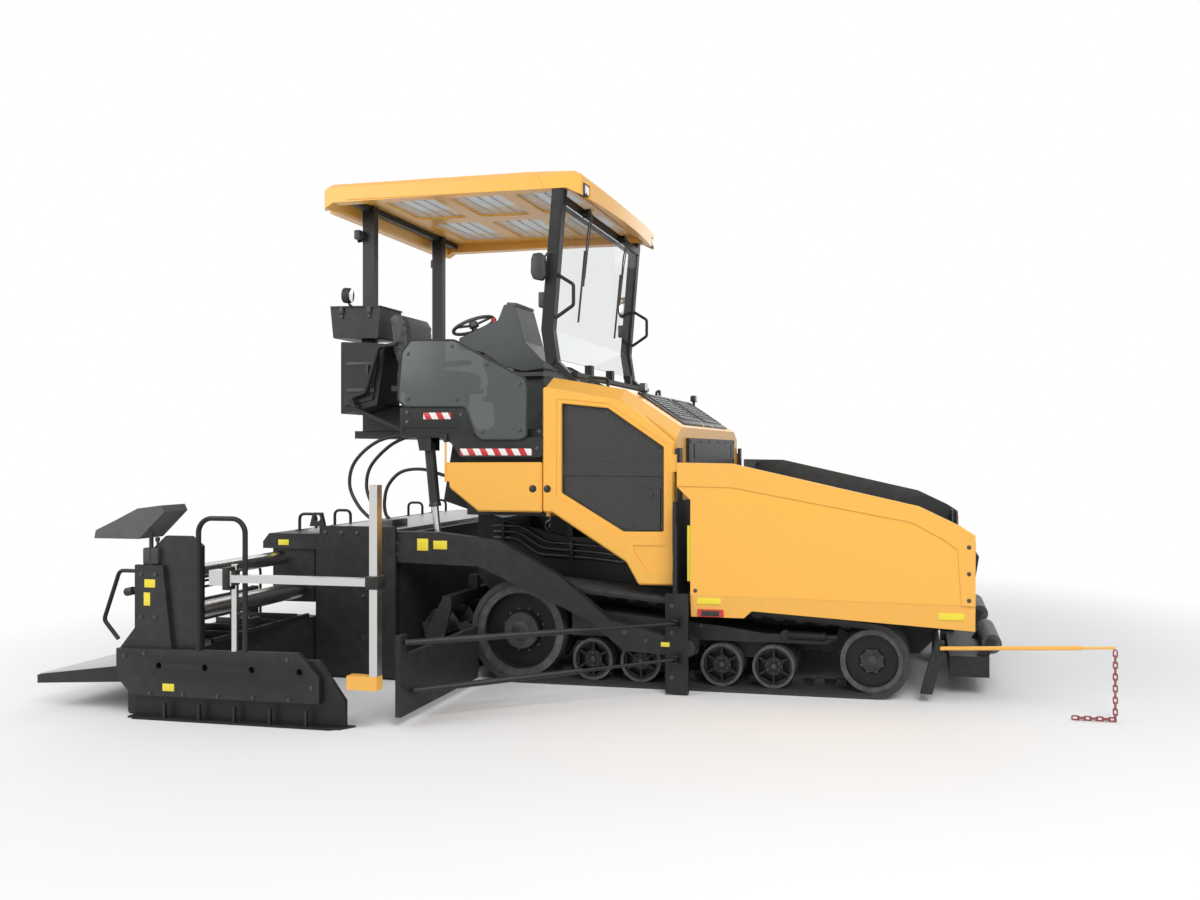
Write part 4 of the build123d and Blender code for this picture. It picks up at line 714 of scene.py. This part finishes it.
intake_from, intake_to, bezel_wide = 0.185, 0.469, 0.014
hood_panel = [cut_plate("panel", [(0.150, slope_z(0.150, -0.004)), (0.505, slope_z(0.505, -0.004)),
                                  (0.507, slope_z(0.505, 0.014)), (0.156, slope_z(0.150, 0.014))],
                        -0.780, 0.780, 0.005)]
hood_panel += [cut_plate("bezel", on_slope(x, x + bezel_wide, 0.010, 0.028), y0, y1, 0.003)
               for x in (intake_from, intake_to - bezel_wide)
               for y0, y1 in ((-0.700, -0.080), (0.080, 0.700))]
hood_panel += [cut_plate("bezel", on_slope(intake_from, intake_to, 0.010, 0.028),
                         y - bezel_wide / 2, y + bezel_wide / 2, 0.003)
               for y in (-0.700, -0.080, 0.080, 0.700)]
fit("hood_panel", hood_panel, shell_black)
slats = [cut_plate("slat", [(x, slope_z(x, 0.010)), (x + 0.010, slope_z(x + 0.010, 0.010)),
                            (x + 0.016, slope_z(x + 0.016, 0.022)),
                            (x + 0.006, slope_z(x + 0.006, 0.024))], y0, y1, 0.0)
         for x in (0.215, 0.245, 0.275, 0.305, 0.335, 0.365, 0.395, 0.425)
         for y0, y1 in ((-0.694, -0.086), (0.086, 0.694))]
fit("hood_slats", slats, cast)
for side_name, s in SIDES:
    rail = [(-0.175, s * 0.90, 2.125), (-0.175, s * 0.90, 2.180), (-0.095, s * 0.72, 2.180),
            (-0.095, s * 0.72, 2.112)]
    finish(bent_tube(f"hood_rail_{side_name}", rail, 0.012, 0.03), black)
front_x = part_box("hood_front_plate")[1].x
plate_spots = [(y, 1.715) for y in (-0.81, -0.48, -0.16, 0.16, 0.48, 0.81)]
plate_spots += [(-0.81, 1.56), (0.81, 1.56)]
fit("front_plate_bolts",
    [turned_bar("bolt", (front_x - 0.001, y, z), (front_x + 0.006, y, z), 0.010, 6)
     for y, z in plate_spots], bolt_dark)

# ---- Console fittings: displays, switches, stop button ---------------------------------
# A padded hood shades the main display. Below it lie rocker switches, a rotary knob and
# the red stop button, and a tablet stands on an arm beside the wheel.
screen = finish_material("display_glass", (0.012, 0.014, 0.016), (0.02, 0.022, 0.025), (0.04, 0.09),
                         dust=0.0, wear=0.0, skin=(20.0, 0.0))
display = [(-1.004, 2.660), (-0.970, 2.742), (-0.976, 2.745), (-1.010, 2.663)]
finish(cut_plate("main_display", display, -0.580, -0.320, 0.001), screen, "root")
finish(folded_box("tablet_screen", (-1.1235, -1.1195), (-0.238, -0.042), (2.572, 2.708), 0.001),
       screen, "root")
nose_x, nose_low_z, nose_long, nose_high = -1.330, 2.520, 0.320, 0.130


def nose_z(x, rise=0.0):
    """Height of the console's sloping nose at x, with a rise above it."""
    return nose_low_z + (x - nose_x) / nose_long * nose_high + rise


switches = [folded_box("switch", (x - 0.009, x + 0.009), (y - 0.013, y + 0.013),
                       (nose_z(x, -0.004), nose_z(x, 0.010)), 0.003)
            for x in (-1.030, -1.065) for y in (-0.60, -0.56, -0.52, -0.39)]
fit("switches", switches, shell_black, "root")
stop_x, stop_y = -1.045, -0.620
fit("stop_button", [
    turned_bar("stem", (stop_x, stop_y, nose_z(stop_x, -0.006)),
               (stop_x - 0.004, stop_y, nose_z(stop_x, 0.016)), 0.013, 24),
    turned_bar("head", (stop_x - 0.004, stop_y, nose_z(stop_x, 0.014)),
               (stop_x - 0.008, stop_y, nose_z(stop_x, 0.030)), 0.021, 28, 0.005)],
    signal_red, "root")
wheel_hub, wheel_axis = Vector((-1.300, -0.450, 2.640)), Vector((-0.387, 0, 0.922))
finish(turned_bar("wheel_hub_cap", wheel_hub + wheel_axis * 0.008, wheel_hub + wheel_axis * 0.030,
                  0.034, 32, 0.006), plastic, "steering_wheel")

# ---- Rear lockers: lids, latches and straps --------------------------------------------
# Folded black sheet boxes behind the seats hold tools; over-centre latches shut the lids.
locker_parts = []
for x in (-2.16, -1.93):
    locker_parts += [
        folded_box("latch", (x - 0.018, x + 0.018), (-0.914, -0.898), (2.690, 2.742), 0.004),
        folded_box("keeper", (x - 0.012, x + 0.012), (-0.910, -0.898), (2.655, 2.684), 0.003)]
for z in (2.10, 2.30):
    locker_parts.append(folded_box("strap", (-2.075, -1.845), (-0.978, -0.970),
                                   (z - 0.014, z + 0.014), 0.003))
locker_parts.append(cut_plate("handle", [(-1.90, 2.20), (-1.885, 2.20), (-1.885, 2.29),
                                         (-1.90, 2.29)], -0.990, -0.971, 0.003))
fit("locker_latches", locker_parts, shell_black)

# ---- Track wheels: rings of wheel bolts and hub caps ------------------------------------
# Cast wheels are bolted to their hubs by rings of studs; the hubs carry flat oil caps.
# hub's x and z, the studs' ring, how many, and their width
wheel_rings = ((-0.605, 0.365, 0.150, 12, 0.022), (1.871, 0.250, 0.075, 8, 0.018),
               (-0.066, 0.185, 0.044, 6, 0.014), (0.282, 0.185, 0.044, 6, 0.014),
               (0.854, 0.185, 0.044, 6, 0.014), (1.212, 0.185, 0.044, 6, 0.014))
wheel_inside = 0.80                      # a ray that lands nearer went between the spokes
for side_name, s in SIDES:
    wheels = f"track_wheels_{side_name}"
    studs = []
    for x, z, ring, count, size in wheel_rings:
        turns = [2 * math.pi * (index + 0.5) / count for index in range(count)]
        spots = [(x + ring * math.cos(turn), z + ring * math.sin(turn)) for turn in turns]
        for px, y, pz, _ in on_surface(wheels, spots, s, wheel_inside):
            studs.append(turned_bar("stud", (px, y - s * 0.003, pz), (px, y + s * 0.010, pz),
                                    size / 2, 6, 0.001))
        y = surface_y(wheels, x, z, s)
        studs.append(turned_bar("cap", (x, y - s * 0.003, z), (x, y + s * 0.008, z),
                                ring * 0.45, 28, 0.003))
        studs.append(turned_bar("plug", (x, y + s * 0.007, z), (x, y + s * 0.014, z),
                                0.009, 6, 0.001))
    fit(f"wheel_studs_{side_name}", studs, bolt_dark)

# ---- Bolts of the frame, tow posts, arms and screed plates -----------------------------
# Flanged hexagon bolts join the heavy plates.
frame_spots = (
    ("tow_posts", ((0.455, 0.60), (0.545, 0.60), (0.455, 0.42), (0.545, 0.42), (0.455, 0.12),
                   (0.545, 0.12))),
    ("track_frames", ((0.50, 0.44), (0.70, 0.44), (1.05, 0.44), (1.45, 0.42))),
    ("deck", ((-1.47, 1.85), (-1.47, 1.92), (-1.05, 1.90), (-0.47, 1.78), (-0.47, 1.66))))
arm_spots = ((-1.62, 0.98), (-1.62, 0.90), (-1.50, 0.98), (-1.50, 0.90), (0.20, 0.40), (0.35, 0.35))
end_spots = ((-2.05, 1.05), (-1.92, 1.05), (-1.80, 1.05), (-2.50, 0.85), (-2.50, 0.60),
             (-2.50, 0.35), (-1.75, 0.30), (-1.75, 0.60))
gate_spots = ((-2.64, 0.38), (-2.50, 0.40), (-1.52, 0.40), (-1.36, 0.24), (-2.46, 0.16),
              (-2.23, 0.16), (-1.99, 0.16), (-1.75, 0.16), (-1.51, 0.16), (-2.55, 0.62),
              (-2.45, 0.62), (-2.55, 0.88), (-2.45, 0.88))
frame_inside = 0.75                      # a ray that lands nearer missed the outer plates
for side_name, s in SIDES:
    hex_bolts(f"frame_bolts_{side_name}",
              [place for node, spots in frame_spots
               for place in on_surface(node, spots, s, frame_inside)], 0.024, 0.010)
    hex_bolts(f"screed_bolts_{side_name}",
              on_surface("tow_arms", arm_spots, s) + on_surface("screed_frame", end_spots, s),
              0.024, 0.010, "screed")
    hex_bolts(f"gate_bolts_{side_name}", on_surface(f"end_gate_{side_name}", gate_spots, s),
              0.022, 0.009, f"extension_{side_name}")

# ---- Blank yellow plates on the black frames -------------------------------------------
# Small blank yellow plates are riveted where people stand and reach.
for side_name, s in SIDES:
    for index, (node, body, x, z, wide, high) in enumerate((
            ("screed_frame", "screed", -2.391, 0.975, 0.085, 0.040),
            ("tow_arms", "screed", -1.300, 0.975, 0.085, 0.085),
            ("tow_arms", "screed", -1.165, 0.975, 0.105, 0.060),
            (f"end_gate_{side_name}", f"extension_{side_name}", -2.490, 0.827, 0.075, 0.050),
            (f"end_gate_{side_name}", f"extension_{side_name}", -2.510, 0.730, 0.045, 0.080),
            (f"end_gate_{side_name}", f"extension_{side_name}", -2.332, 0.200, 0.080, 0.045),
            ("tow_posts", "root", 0.498, 0.340, 0.060, 0.030))):
        y = surface_y(node, x, z, s)
        if y is not None:
            plate = folded_box(f"plate_{side_name}_{index}", (x - wide / 2, x + wide / 2),
                               (y - s * 0.001, y + s * 0.002), (z - high / 2, z + high / 2), 0.0006)
            finish(plate, label_yellow, body)

# ---- Screed walkway, guide tubes, extension gear ---------------------------------------
# The walkway is an aluminium tread plate. Chromed tubes guide each extension, and a
# hydraulic cylinder with a bright rod lies between them.
tread = finish_material("tread_plate", (0.50, 0.50, 0.49), (0.34, 0.34, 0.33), (0.28, 0.42),
                        metal=1.0, dust=0.10, wear=0.2, skin=(240.0, 0.05))
tree = tread.node_tree
axes = add_node(tree, "ShaderNodeSeparateXYZ", {0: object_coords(tree)}).outputs
waves = [number(tree, "SINE", number(tree, "MULTIPLY", axes[axis], 160.0)) for axis in "XY"]
raised = number(tree, "GREATER_THAN", number(tree, "MULTIPLY", *waves), 0.55)
lift = add_node(tree, "ShaderNodeBump", {"Height": raised, "Strength": 0.8, "Distance": 0.003})
set_inputs(tree, tree.nodes["Principled BSDF"], {"Normal": lift.outputs["Normal"]})
coat(tread, "screed_walkway")
guide_tubes = ((-2.430, 0.860, 0.052), (-2.250, 0.640, 0.062))      # x, z and reach
foot_top = 0.342                         # the mast's yellow foot ends here
mast_y, screw_z = 2.445, 0.885           # the mast's axis and its clamp's screw
lever_x, lever_y = -2.46, 2.352
for side_name, s in SIDES:
    second_paint(f"extension_{side_name}", bright, lambda centre, normal: any(
        math.hypot(centre.x - tube_x, centre.z - tube_z) < reach
        for tube_x, tube_z, reach in guide_tubes))
    step = cut_plate(f"extension_step_{side_name}",
                     [(-3.352, 0.2165), (-2.695, 0.3015), (-2.695, 0.3075), (-3.352, 0.2225)],
                     s * 1.345, s * 2.325, 0.001)
    finish(step, tread, f"extension_{side_name}")
    second_paint(f"grade_mast_{side_name}", yellow, lambda centre, normal: centre.z < foot_top)
    y = s * mast_y
    fit(f"mast_clamp_{side_name}", [
        folded_box("clamp", (-0.965, -0.880), (y - 0.045, y + 0.045), (0.845, 0.920), 0.006),
        turned_bar("screw", (-0.960, y, screw_z), (-1.005, y, screw_z), 0.008, 16),
        turned_bar("knob", (-1.000, y, screw_z), (-1.028, y, screw_z), 0.022, 12, 0.005),
        folded_box("clamp", (-1.905, -1.862), (y - 0.035, y + 0.030), (0.815, 0.950), 0.006)],
        black, f"extension_{side_name}")
    y = s * lever_y
    fit(f"extension_controls_{side_name}", [
        folded_box("box", (-2.545, -2.435), (s * 2.326, s * 2.378), (0.945, 1.045), 0.008),
        turned_bar("lever", (lever_x, y, 1.040), (lever_x, y, 1.085), 0.007, 12),
        turned_bar("knob", (lever_x, y, 1.083), (lever_x, y, 1.110), 0.013, 16, 0.005)],
        shell_black, f"extension_{side_name}")

# ---- Seats: foam cushions under a grained vinyl cover ----------------------------------
# Each seat has a moulded foam squab and back. The cover is pulled tight, so the faces
# crown a little between the edges, and two sewn channels run along each cushion.
cover = finish_material("seat_cover", (0.042, 0.042, 0.040), (0.028, 0.028, 0.027), (0.42, 0.58),
                        dust=0.03, wear=0.1, skin=(900.0, 0.30))
seat_middle, channel_at, channel_half = 0.750, 0.120, 0.004
tree = cover.node_tree
axes = add_node(tree, "ShaderNodeSeparateXYZ", {0: object_coords(tree)}).outputs
from_middle = number(tree, "ABSOLUTE", number(
    tree, "SUBTRACT", number(tree, "ABSOLUTE", axes["Y"]), seat_middle))
channel = number(tree, "LESS_THAN", number(
    tree, "ABSOLUTE", number(tree, "SUBTRACT", from_middle, channel_at)), channel_half)
stitch = add_node(tree, "ShaderNodeBump",
                  {"Height": channel, "Strength": 1.0, "Distance": 0.004}, invert=True)
set_inputs(tree, tree.nodes["Principled BSDF"], {"Normal": stitch.outputs["Normal"]})

foam = bpy.data.objects["seat_cushions"].copy()
foam.data = foam.data.copy()
bpy.context.collection.objects.link(foam)
foam.parent = None
foam.matrix_world = Matrix.Identity(4)
pick(foam)
bpy.ops.object.mode_set(mode="EDIT")
bpy.ops.mesh.select_all(action="SELECT")
bpy.ops.mesh.remove_doubles(threshold=0.0001)
bpy.ops.mesh.separate(type="LOOSE")
bpy.ops.object.mode_set(mode="OBJECT")
foams = sorted(bpy.context.selected_objects,
               key=lambda item: (round(sum(v.co.y for v in item.data.vertices), 3),
                                 round(sum(v.co.z for v in item.data.vertices), 3)))
# The foam starts a little small, and the cover swells by no more than the limit.
foam_share, voxel, pressure, cloth_frames, swell_limit = 0.972, 0.006, 4.0, 20, 0.009
for index, cushion in enumerate(foams):
    pick(cushion)
    cushion.name = f"seat_cushion_{index}"
    middle = sum((v.co for v in cushion.data.vertices), Vector()) / len(cushion.data.vertices)
    for vertex in cushion.data.vertices:
        vertex.co = middle + (vertex.co - middle) * foam_share
    remesh = cushion.modifiers.new("voxels", "REMESH")
    remesh.mode = "VOXEL"
    remesh.voxel_size = voxel
    bpy.ops.object.modifier_apply(modifier="voxels")
    before = [vertex.co.copy() for vertex in cushion.data.vertices]
    cloth = cushion.modifiers.new("swell", "CLOTH")
    cloth.settings.use_pressure = True
    cloth.settings.uniform_pressure_force = pressure
    cloth.settings.effector_weights.gravity = 0.0
    for frame_number in range(1, cloth_frames + 1):
        bpy.context.scene.frame_set(frame_number)
    bpy.ops.object.modifier_apply(modifier="swell")
    bpy.context.scene.frame_set(1)
    for vertex, old in zip(cushion.data.vertices, before):
        move = vertex.co - old
        if move.length > swell_limit:
            vertex.co = old + move * (swell_limit / move.length)
    smooth = cushion.modifiers.new("smooth", "SUBSURF")
    smooth.levels = smooth.render_levels = 1
    bpy.ops.object.modifier_apply(modifier="smooth")
    bpy.ops.object.shade_smooth()
    finish(cushion, cover, "root")
    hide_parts("seat_cushions")

# ---- Hydraulic hoses from the tractor to the screed ------------------------------------
# Black rubber hoses, 26 mm outside, hang in slack bends between a manifold on the screed
# and the tractor's rear, with crimped steel ends.
hose_rubber = finish_material("hose_rubber", (0.014, 0.014, 0.014), (0.022, 0.022, 0.021),
                              (0.42, 0.58), dust=0.05, wear=0.05, skin=(500.0, 0.15))


def smooth_route(points, steps=9):
    """Points along one smooth curve through the given ones."""
    ends = [Vector(points[0]) * 2 - Vector(points[1])] + [Vector(p) for p in points]
    ends.append(Vector(points[-1]) * 2 - Vector(points[-2]))
    route = []
    for a, b, c, d in zip(ends, ends[1:], ends[2:], ends[3:]):
        for step in range(steps):
            t = step / steps
            route.append(0.5 * (2 * b + (c - a) * t + (2 * a - 5 * b + 4 * c - d) * t * t
                                + (3 * b - a - 3 * c + d) * t ** 3))
    route.append(Vector(points[-1]))
    return route


hose_wide = 0.026
upper_y, middle_y, lower_y = -0.840, -0.780, -0.700
hose_runs = (
    ("hose_upper", upper_y, ((-1.532, 1.770), (-1.640, 1.772), (-1.900, 1.715), (-2.090, 1.560),
                             (-2.135, 1.380), (-2.060, 1.220), (-1.940, 1.112), (-1.858, 1.088))),
    ("hose_middle", middle_y, ((-1.532, 1.770), (-1.620, 1.768), (-1.820, 1.690), (-1.990, 1.530),
                               (-2.030, 1.370), (-1.985, 1.230), (-1.925, 1.122), (-1.858, 1.088))),
    ("hose_lower", lower_y, ((-1.302, 1.440), (-1.400, 1.448), (-1.600, 1.500), (-1.780, 1.480),
                             (-1.890, 1.380), (-1.925, 1.260), (-1.915, 1.150), (-1.858, 1.088))))
for hose_name, y, run in hose_runs:
    route = smooth_route([(x, y, z) for x, z in run])
    hose = bent_tube(hose_name, route, hose_wide / 2, 0.0)
    hose.data.materials.clear()
    hose.data.materials.append(hose_rubber)
    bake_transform(hose)
collars = [turned_bar("collar", (-1.528, y, 1.770), (-1.575, y, 1.7705), 0.018, 20, 0.002)
           for y in (upper_y, middle_y)]
collars.append(turned_bar("collar", (-1.292, lower_y, 1.4392), (-1.350, lower_y, 1.4430),
                          0.018, 20, 0.002))
fit("hose_collars_tractor", collars, bright, "root")
manifold = [folded_box("block", (-1.850, -1.750), (-0.880, -0.660), (1.064, 1.118), 0.006)]
manifold += [turned_bar("collar", (-1.890, y, 1.0970), (-1.848, y, 1.086), 0.018, 20, 0.002)
             for y in (upper_y, middle_y, lower_y)]
fit("hose_manifold", manifold, bolt_dark, "screed")

# ---- Track tension cylinders and lift cylinder glands ----------------------------------
# Grease-filled cylinders push the idlers forward to keep the belts tight. A screwed gland
# closes each lift cylinder's barrel where its rod comes out.
lift_top_x, lift_top_z = -1.335, 1.690   # the lift cylinders' upper pins
lift_lean = 0.075 / 0.760                # how far the axis comes forward for each step down
for side_name, s in SIDES:
    y = s * 1.105
    fit(f"tension_{side_name}", [
        turned_bar("barrel", (1.300, y, 0.400), (1.540, y, 0.395), 0.030, 28, 0.004),
        turned_bar("gland", (1.535, y, 0.395), (1.560, y, 0.394), 0.034, 28, 0.004),
        turned_bar("rod", (1.555, y, 0.394), (1.640, y, 0.392), 0.016, 20),
        turned_bar("foot", (1.290, y - 0.02, 0.400), (1.290, y + 0.02, 0.400), 0.034, 24, 0.004)],
        cast, "root")
    gland_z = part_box(f"lift_barrel_{side_name}")[0].z + 0.006
    gland_x = lift_top_x + (lift_top_z - gland_z) * lift_lean
    gland = turned_bar(f"lift_gland_{side_name}", (gland_x - 0.002, s * 1.080, gland_z + 0.020),
                       (gland_x + 0.001, s * 1.080, gland_z - 0.006), 0.043, 32, 0.003)
    finish(gland, bolt_dark, f"lift_barrel_{side_name}")

# ---- Control panels at the screed's ends -----------------------------------------------
# Each side has a tilted control panel in grey moulded plastic with a dark display.
panel_grey = finish_material("panel_grey", (0.060, 0.062, 0.062), (0.04, 0.042, 0.042),
                             (0.40, 0.52), dust=0.04, wear=0.1, skin=(700.0, 0.2))
for side_name, s in SIDES:
    second_paint(f"gate_rails_{side_name}", panel_grey,
                 lambda centre, normal: centre.z > 1.098 and centre.x < -2.37)
    display = [(-2.850, 1.160), (-2.590, 1.2835), (-2.591, 1.2885), (-2.852, 1.165)]
    finish(cut_plate(f"side_display_{side_name}", display, s * 2.225, s * 2.365, 0.001),
           screen, f"extension_{side_name}")
    y = s * 2.330
    fit(f"post_probe_{side_name}", [
        turned_bar("probe", (-2.705, y, 0.760), (-2.650, y, 0.772), 0.026, 24, 0.005),
        turned_bar("probe", (-2.655, y, 0.771), (-2.597, y, 0.783), 0.012, 16)],
        shell_black, f"extension_{side_name}")

# ---- Screed hoops and rear gear ---------------------------------------------------------
# Bent tube hoops stand on the screed's rear shelf as hand holds. Ribs and a valve block
# are welded and bolted on the extension bodies.
hoop_x, hoop_ys, shelf_z = (-2.450, -2.310), (-1.000, -0.560, 0.560, 1.000), 1.036
hoops = [bent_tube("hoop", [(hoop_x[0], y, shelf_z), (hoop_x[0], y, 1.165), (hoop_x[1], y, 1.165),
                            (hoop_x[1], y, shelf_z)], 0.011, 0.045) for y in hoop_ys]
hoops += [folded_box("foot", (x - 0.025, x + 0.025), (y - 0.022, y + 0.022), (1.039, 1.047), 0.002)
          for x in hoop_x for y in hoop_ys]
fit("screed_hoops", hoops, black, "screed")
# Behind the guide tubes lies the slope cylinder between lugs, with steel pipes looped over
# it from a valve block.
gear_z = 0.438                           # just under the extension's top plate
slope_x, slope_z0 = -2.575, 0.620        # the slope cylinder's axis
slope_pipes = ((-2.612, 1.955, 1.480, 0.720), (-2.585, 1.985, 1.560, 0.765),
               (-2.555, 2.020, 1.300, 0.810))         # x, y at each end, z of the loop
for side_name, s in SIDES:
    body = f"extension_{side_name}"
    gear = [folded_box("rib", (-2.640, -2.170), (y - 0.005, y + 0.005), (gear_z, 0.486), 0.002)
            for y in (s * 1.420, s * 1.640, s * 1.860, s * 2.080)]
    gear += [folded_box("valve", (-2.360, -2.240), (s * 1.700, s * 1.800), (gear_z, 0.515), 0.006),
             folded_box("rail", (-2.180, -2.155), (s * 1.300, s * 2.240), (gear_z, 0.470), 0.003)]
    gear += [turned_bar("port", (-2.300, s * y, 0.510), (-2.300, s * y, 0.528), 0.010, 12)
             for y in (1.725, 1.775)]
    fit(f"extension_gear_{side_name}", gear, black, body)
    slope_parts = [folded_box("lug", (-2.605, -2.545), (s * y0, s * y1), (0.436, 0.665), 0.004)
                   for y0, y1 in ((1.330, 1.345), (1.385, 1.400), (2.120, 2.135))]
    slope_parts += [turned_bar(name, (slope_x, s * y0, slope_z0), (slope_x, s * y1, slope_z0),
                               radius, 32)
                    for name, y0, y1, radius in (("barrel", 1.330, 1.860, 0.034),
                                                 ("gland", 1.850, 1.885, 0.039))]
    slope_parts.append(folded_box("block", (-2.630, -2.530), (s * 1.930, s * 2.050),
                                  (0.436, 0.535), 0.005))
    slope_parts += [bent_tube("pipe", [(x, s * y0, 0.530), (x, s * y0, z), (x, s * y1, z),
                                       (x, s * y1, 0.434)], 0.009, 0.055)
                    for x, y0, y1, z in slope_pipes]
    fit(f"slope_cylinder_{side_name}", slope_parts, black, body)
    finish(turned_bar(f"slope_rod_{side_name}", (slope_x, s * 1.870, slope_z0),
                      (slope_x, s * 2.125, slope_z0), 0.018, 32), bright, body)
    face_bolts = [turned_bar("bolt", (-2.152, s * y, z), (-2.142, s * y, z), 0.010, 6)
                  for y in (1.34, 1.60, 1.86, 2.12) for z in (0.10, 0.34)]
    fit(f"extension_bolts_{side_name}", face_bolts, bolt_dark, body)

# ---- Pipes along the chassis ------------------------------------------------------------
# Steel pipes run along the chassis behind each tow arm, held by folded clips.
clip_spots = ((-0.900, 0.965, 1.105), (-0.360, 0.835, 0.970), (0.060, 0.800, 0.930))
pipe_runs = (((-0.980, 1.080), (-0.760, 1.080), (-0.560, 0.960), (-0.180, 0.940), (0.180, 0.900)),
             ((-0.980, 1.035), (-0.780, 1.035), (-0.590, 0.915), (-0.200, 0.895), (0.180, 0.855)),
             ((-0.980, 0.990), (-0.800, 0.990), (-0.620, 0.870), (-0.220, 0.850), (0.180, 0.810)))
for side_name, s in SIDES:
    y = s * (abs(surface_y("chassis", -0.30, 0.95, s) or 0.740) + 0.026)
    pipes = [bent_tube("pipe", [(x, y, z) for x, z in run], 0.012, 0.06) for run in pipe_runs]
    fit(f"chassis_pipes_{side_name}", pipes, bolt_dark)
    clips = [folded_box("clip", (x - 0.014, x + 0.014), (y - s * 0.028, y + s * 0.018),
                        (z0, z1), 0.003) for x, z0, z1 in clip_spots]
    fit(f"pipe_clips_{side_name}", clips, black)
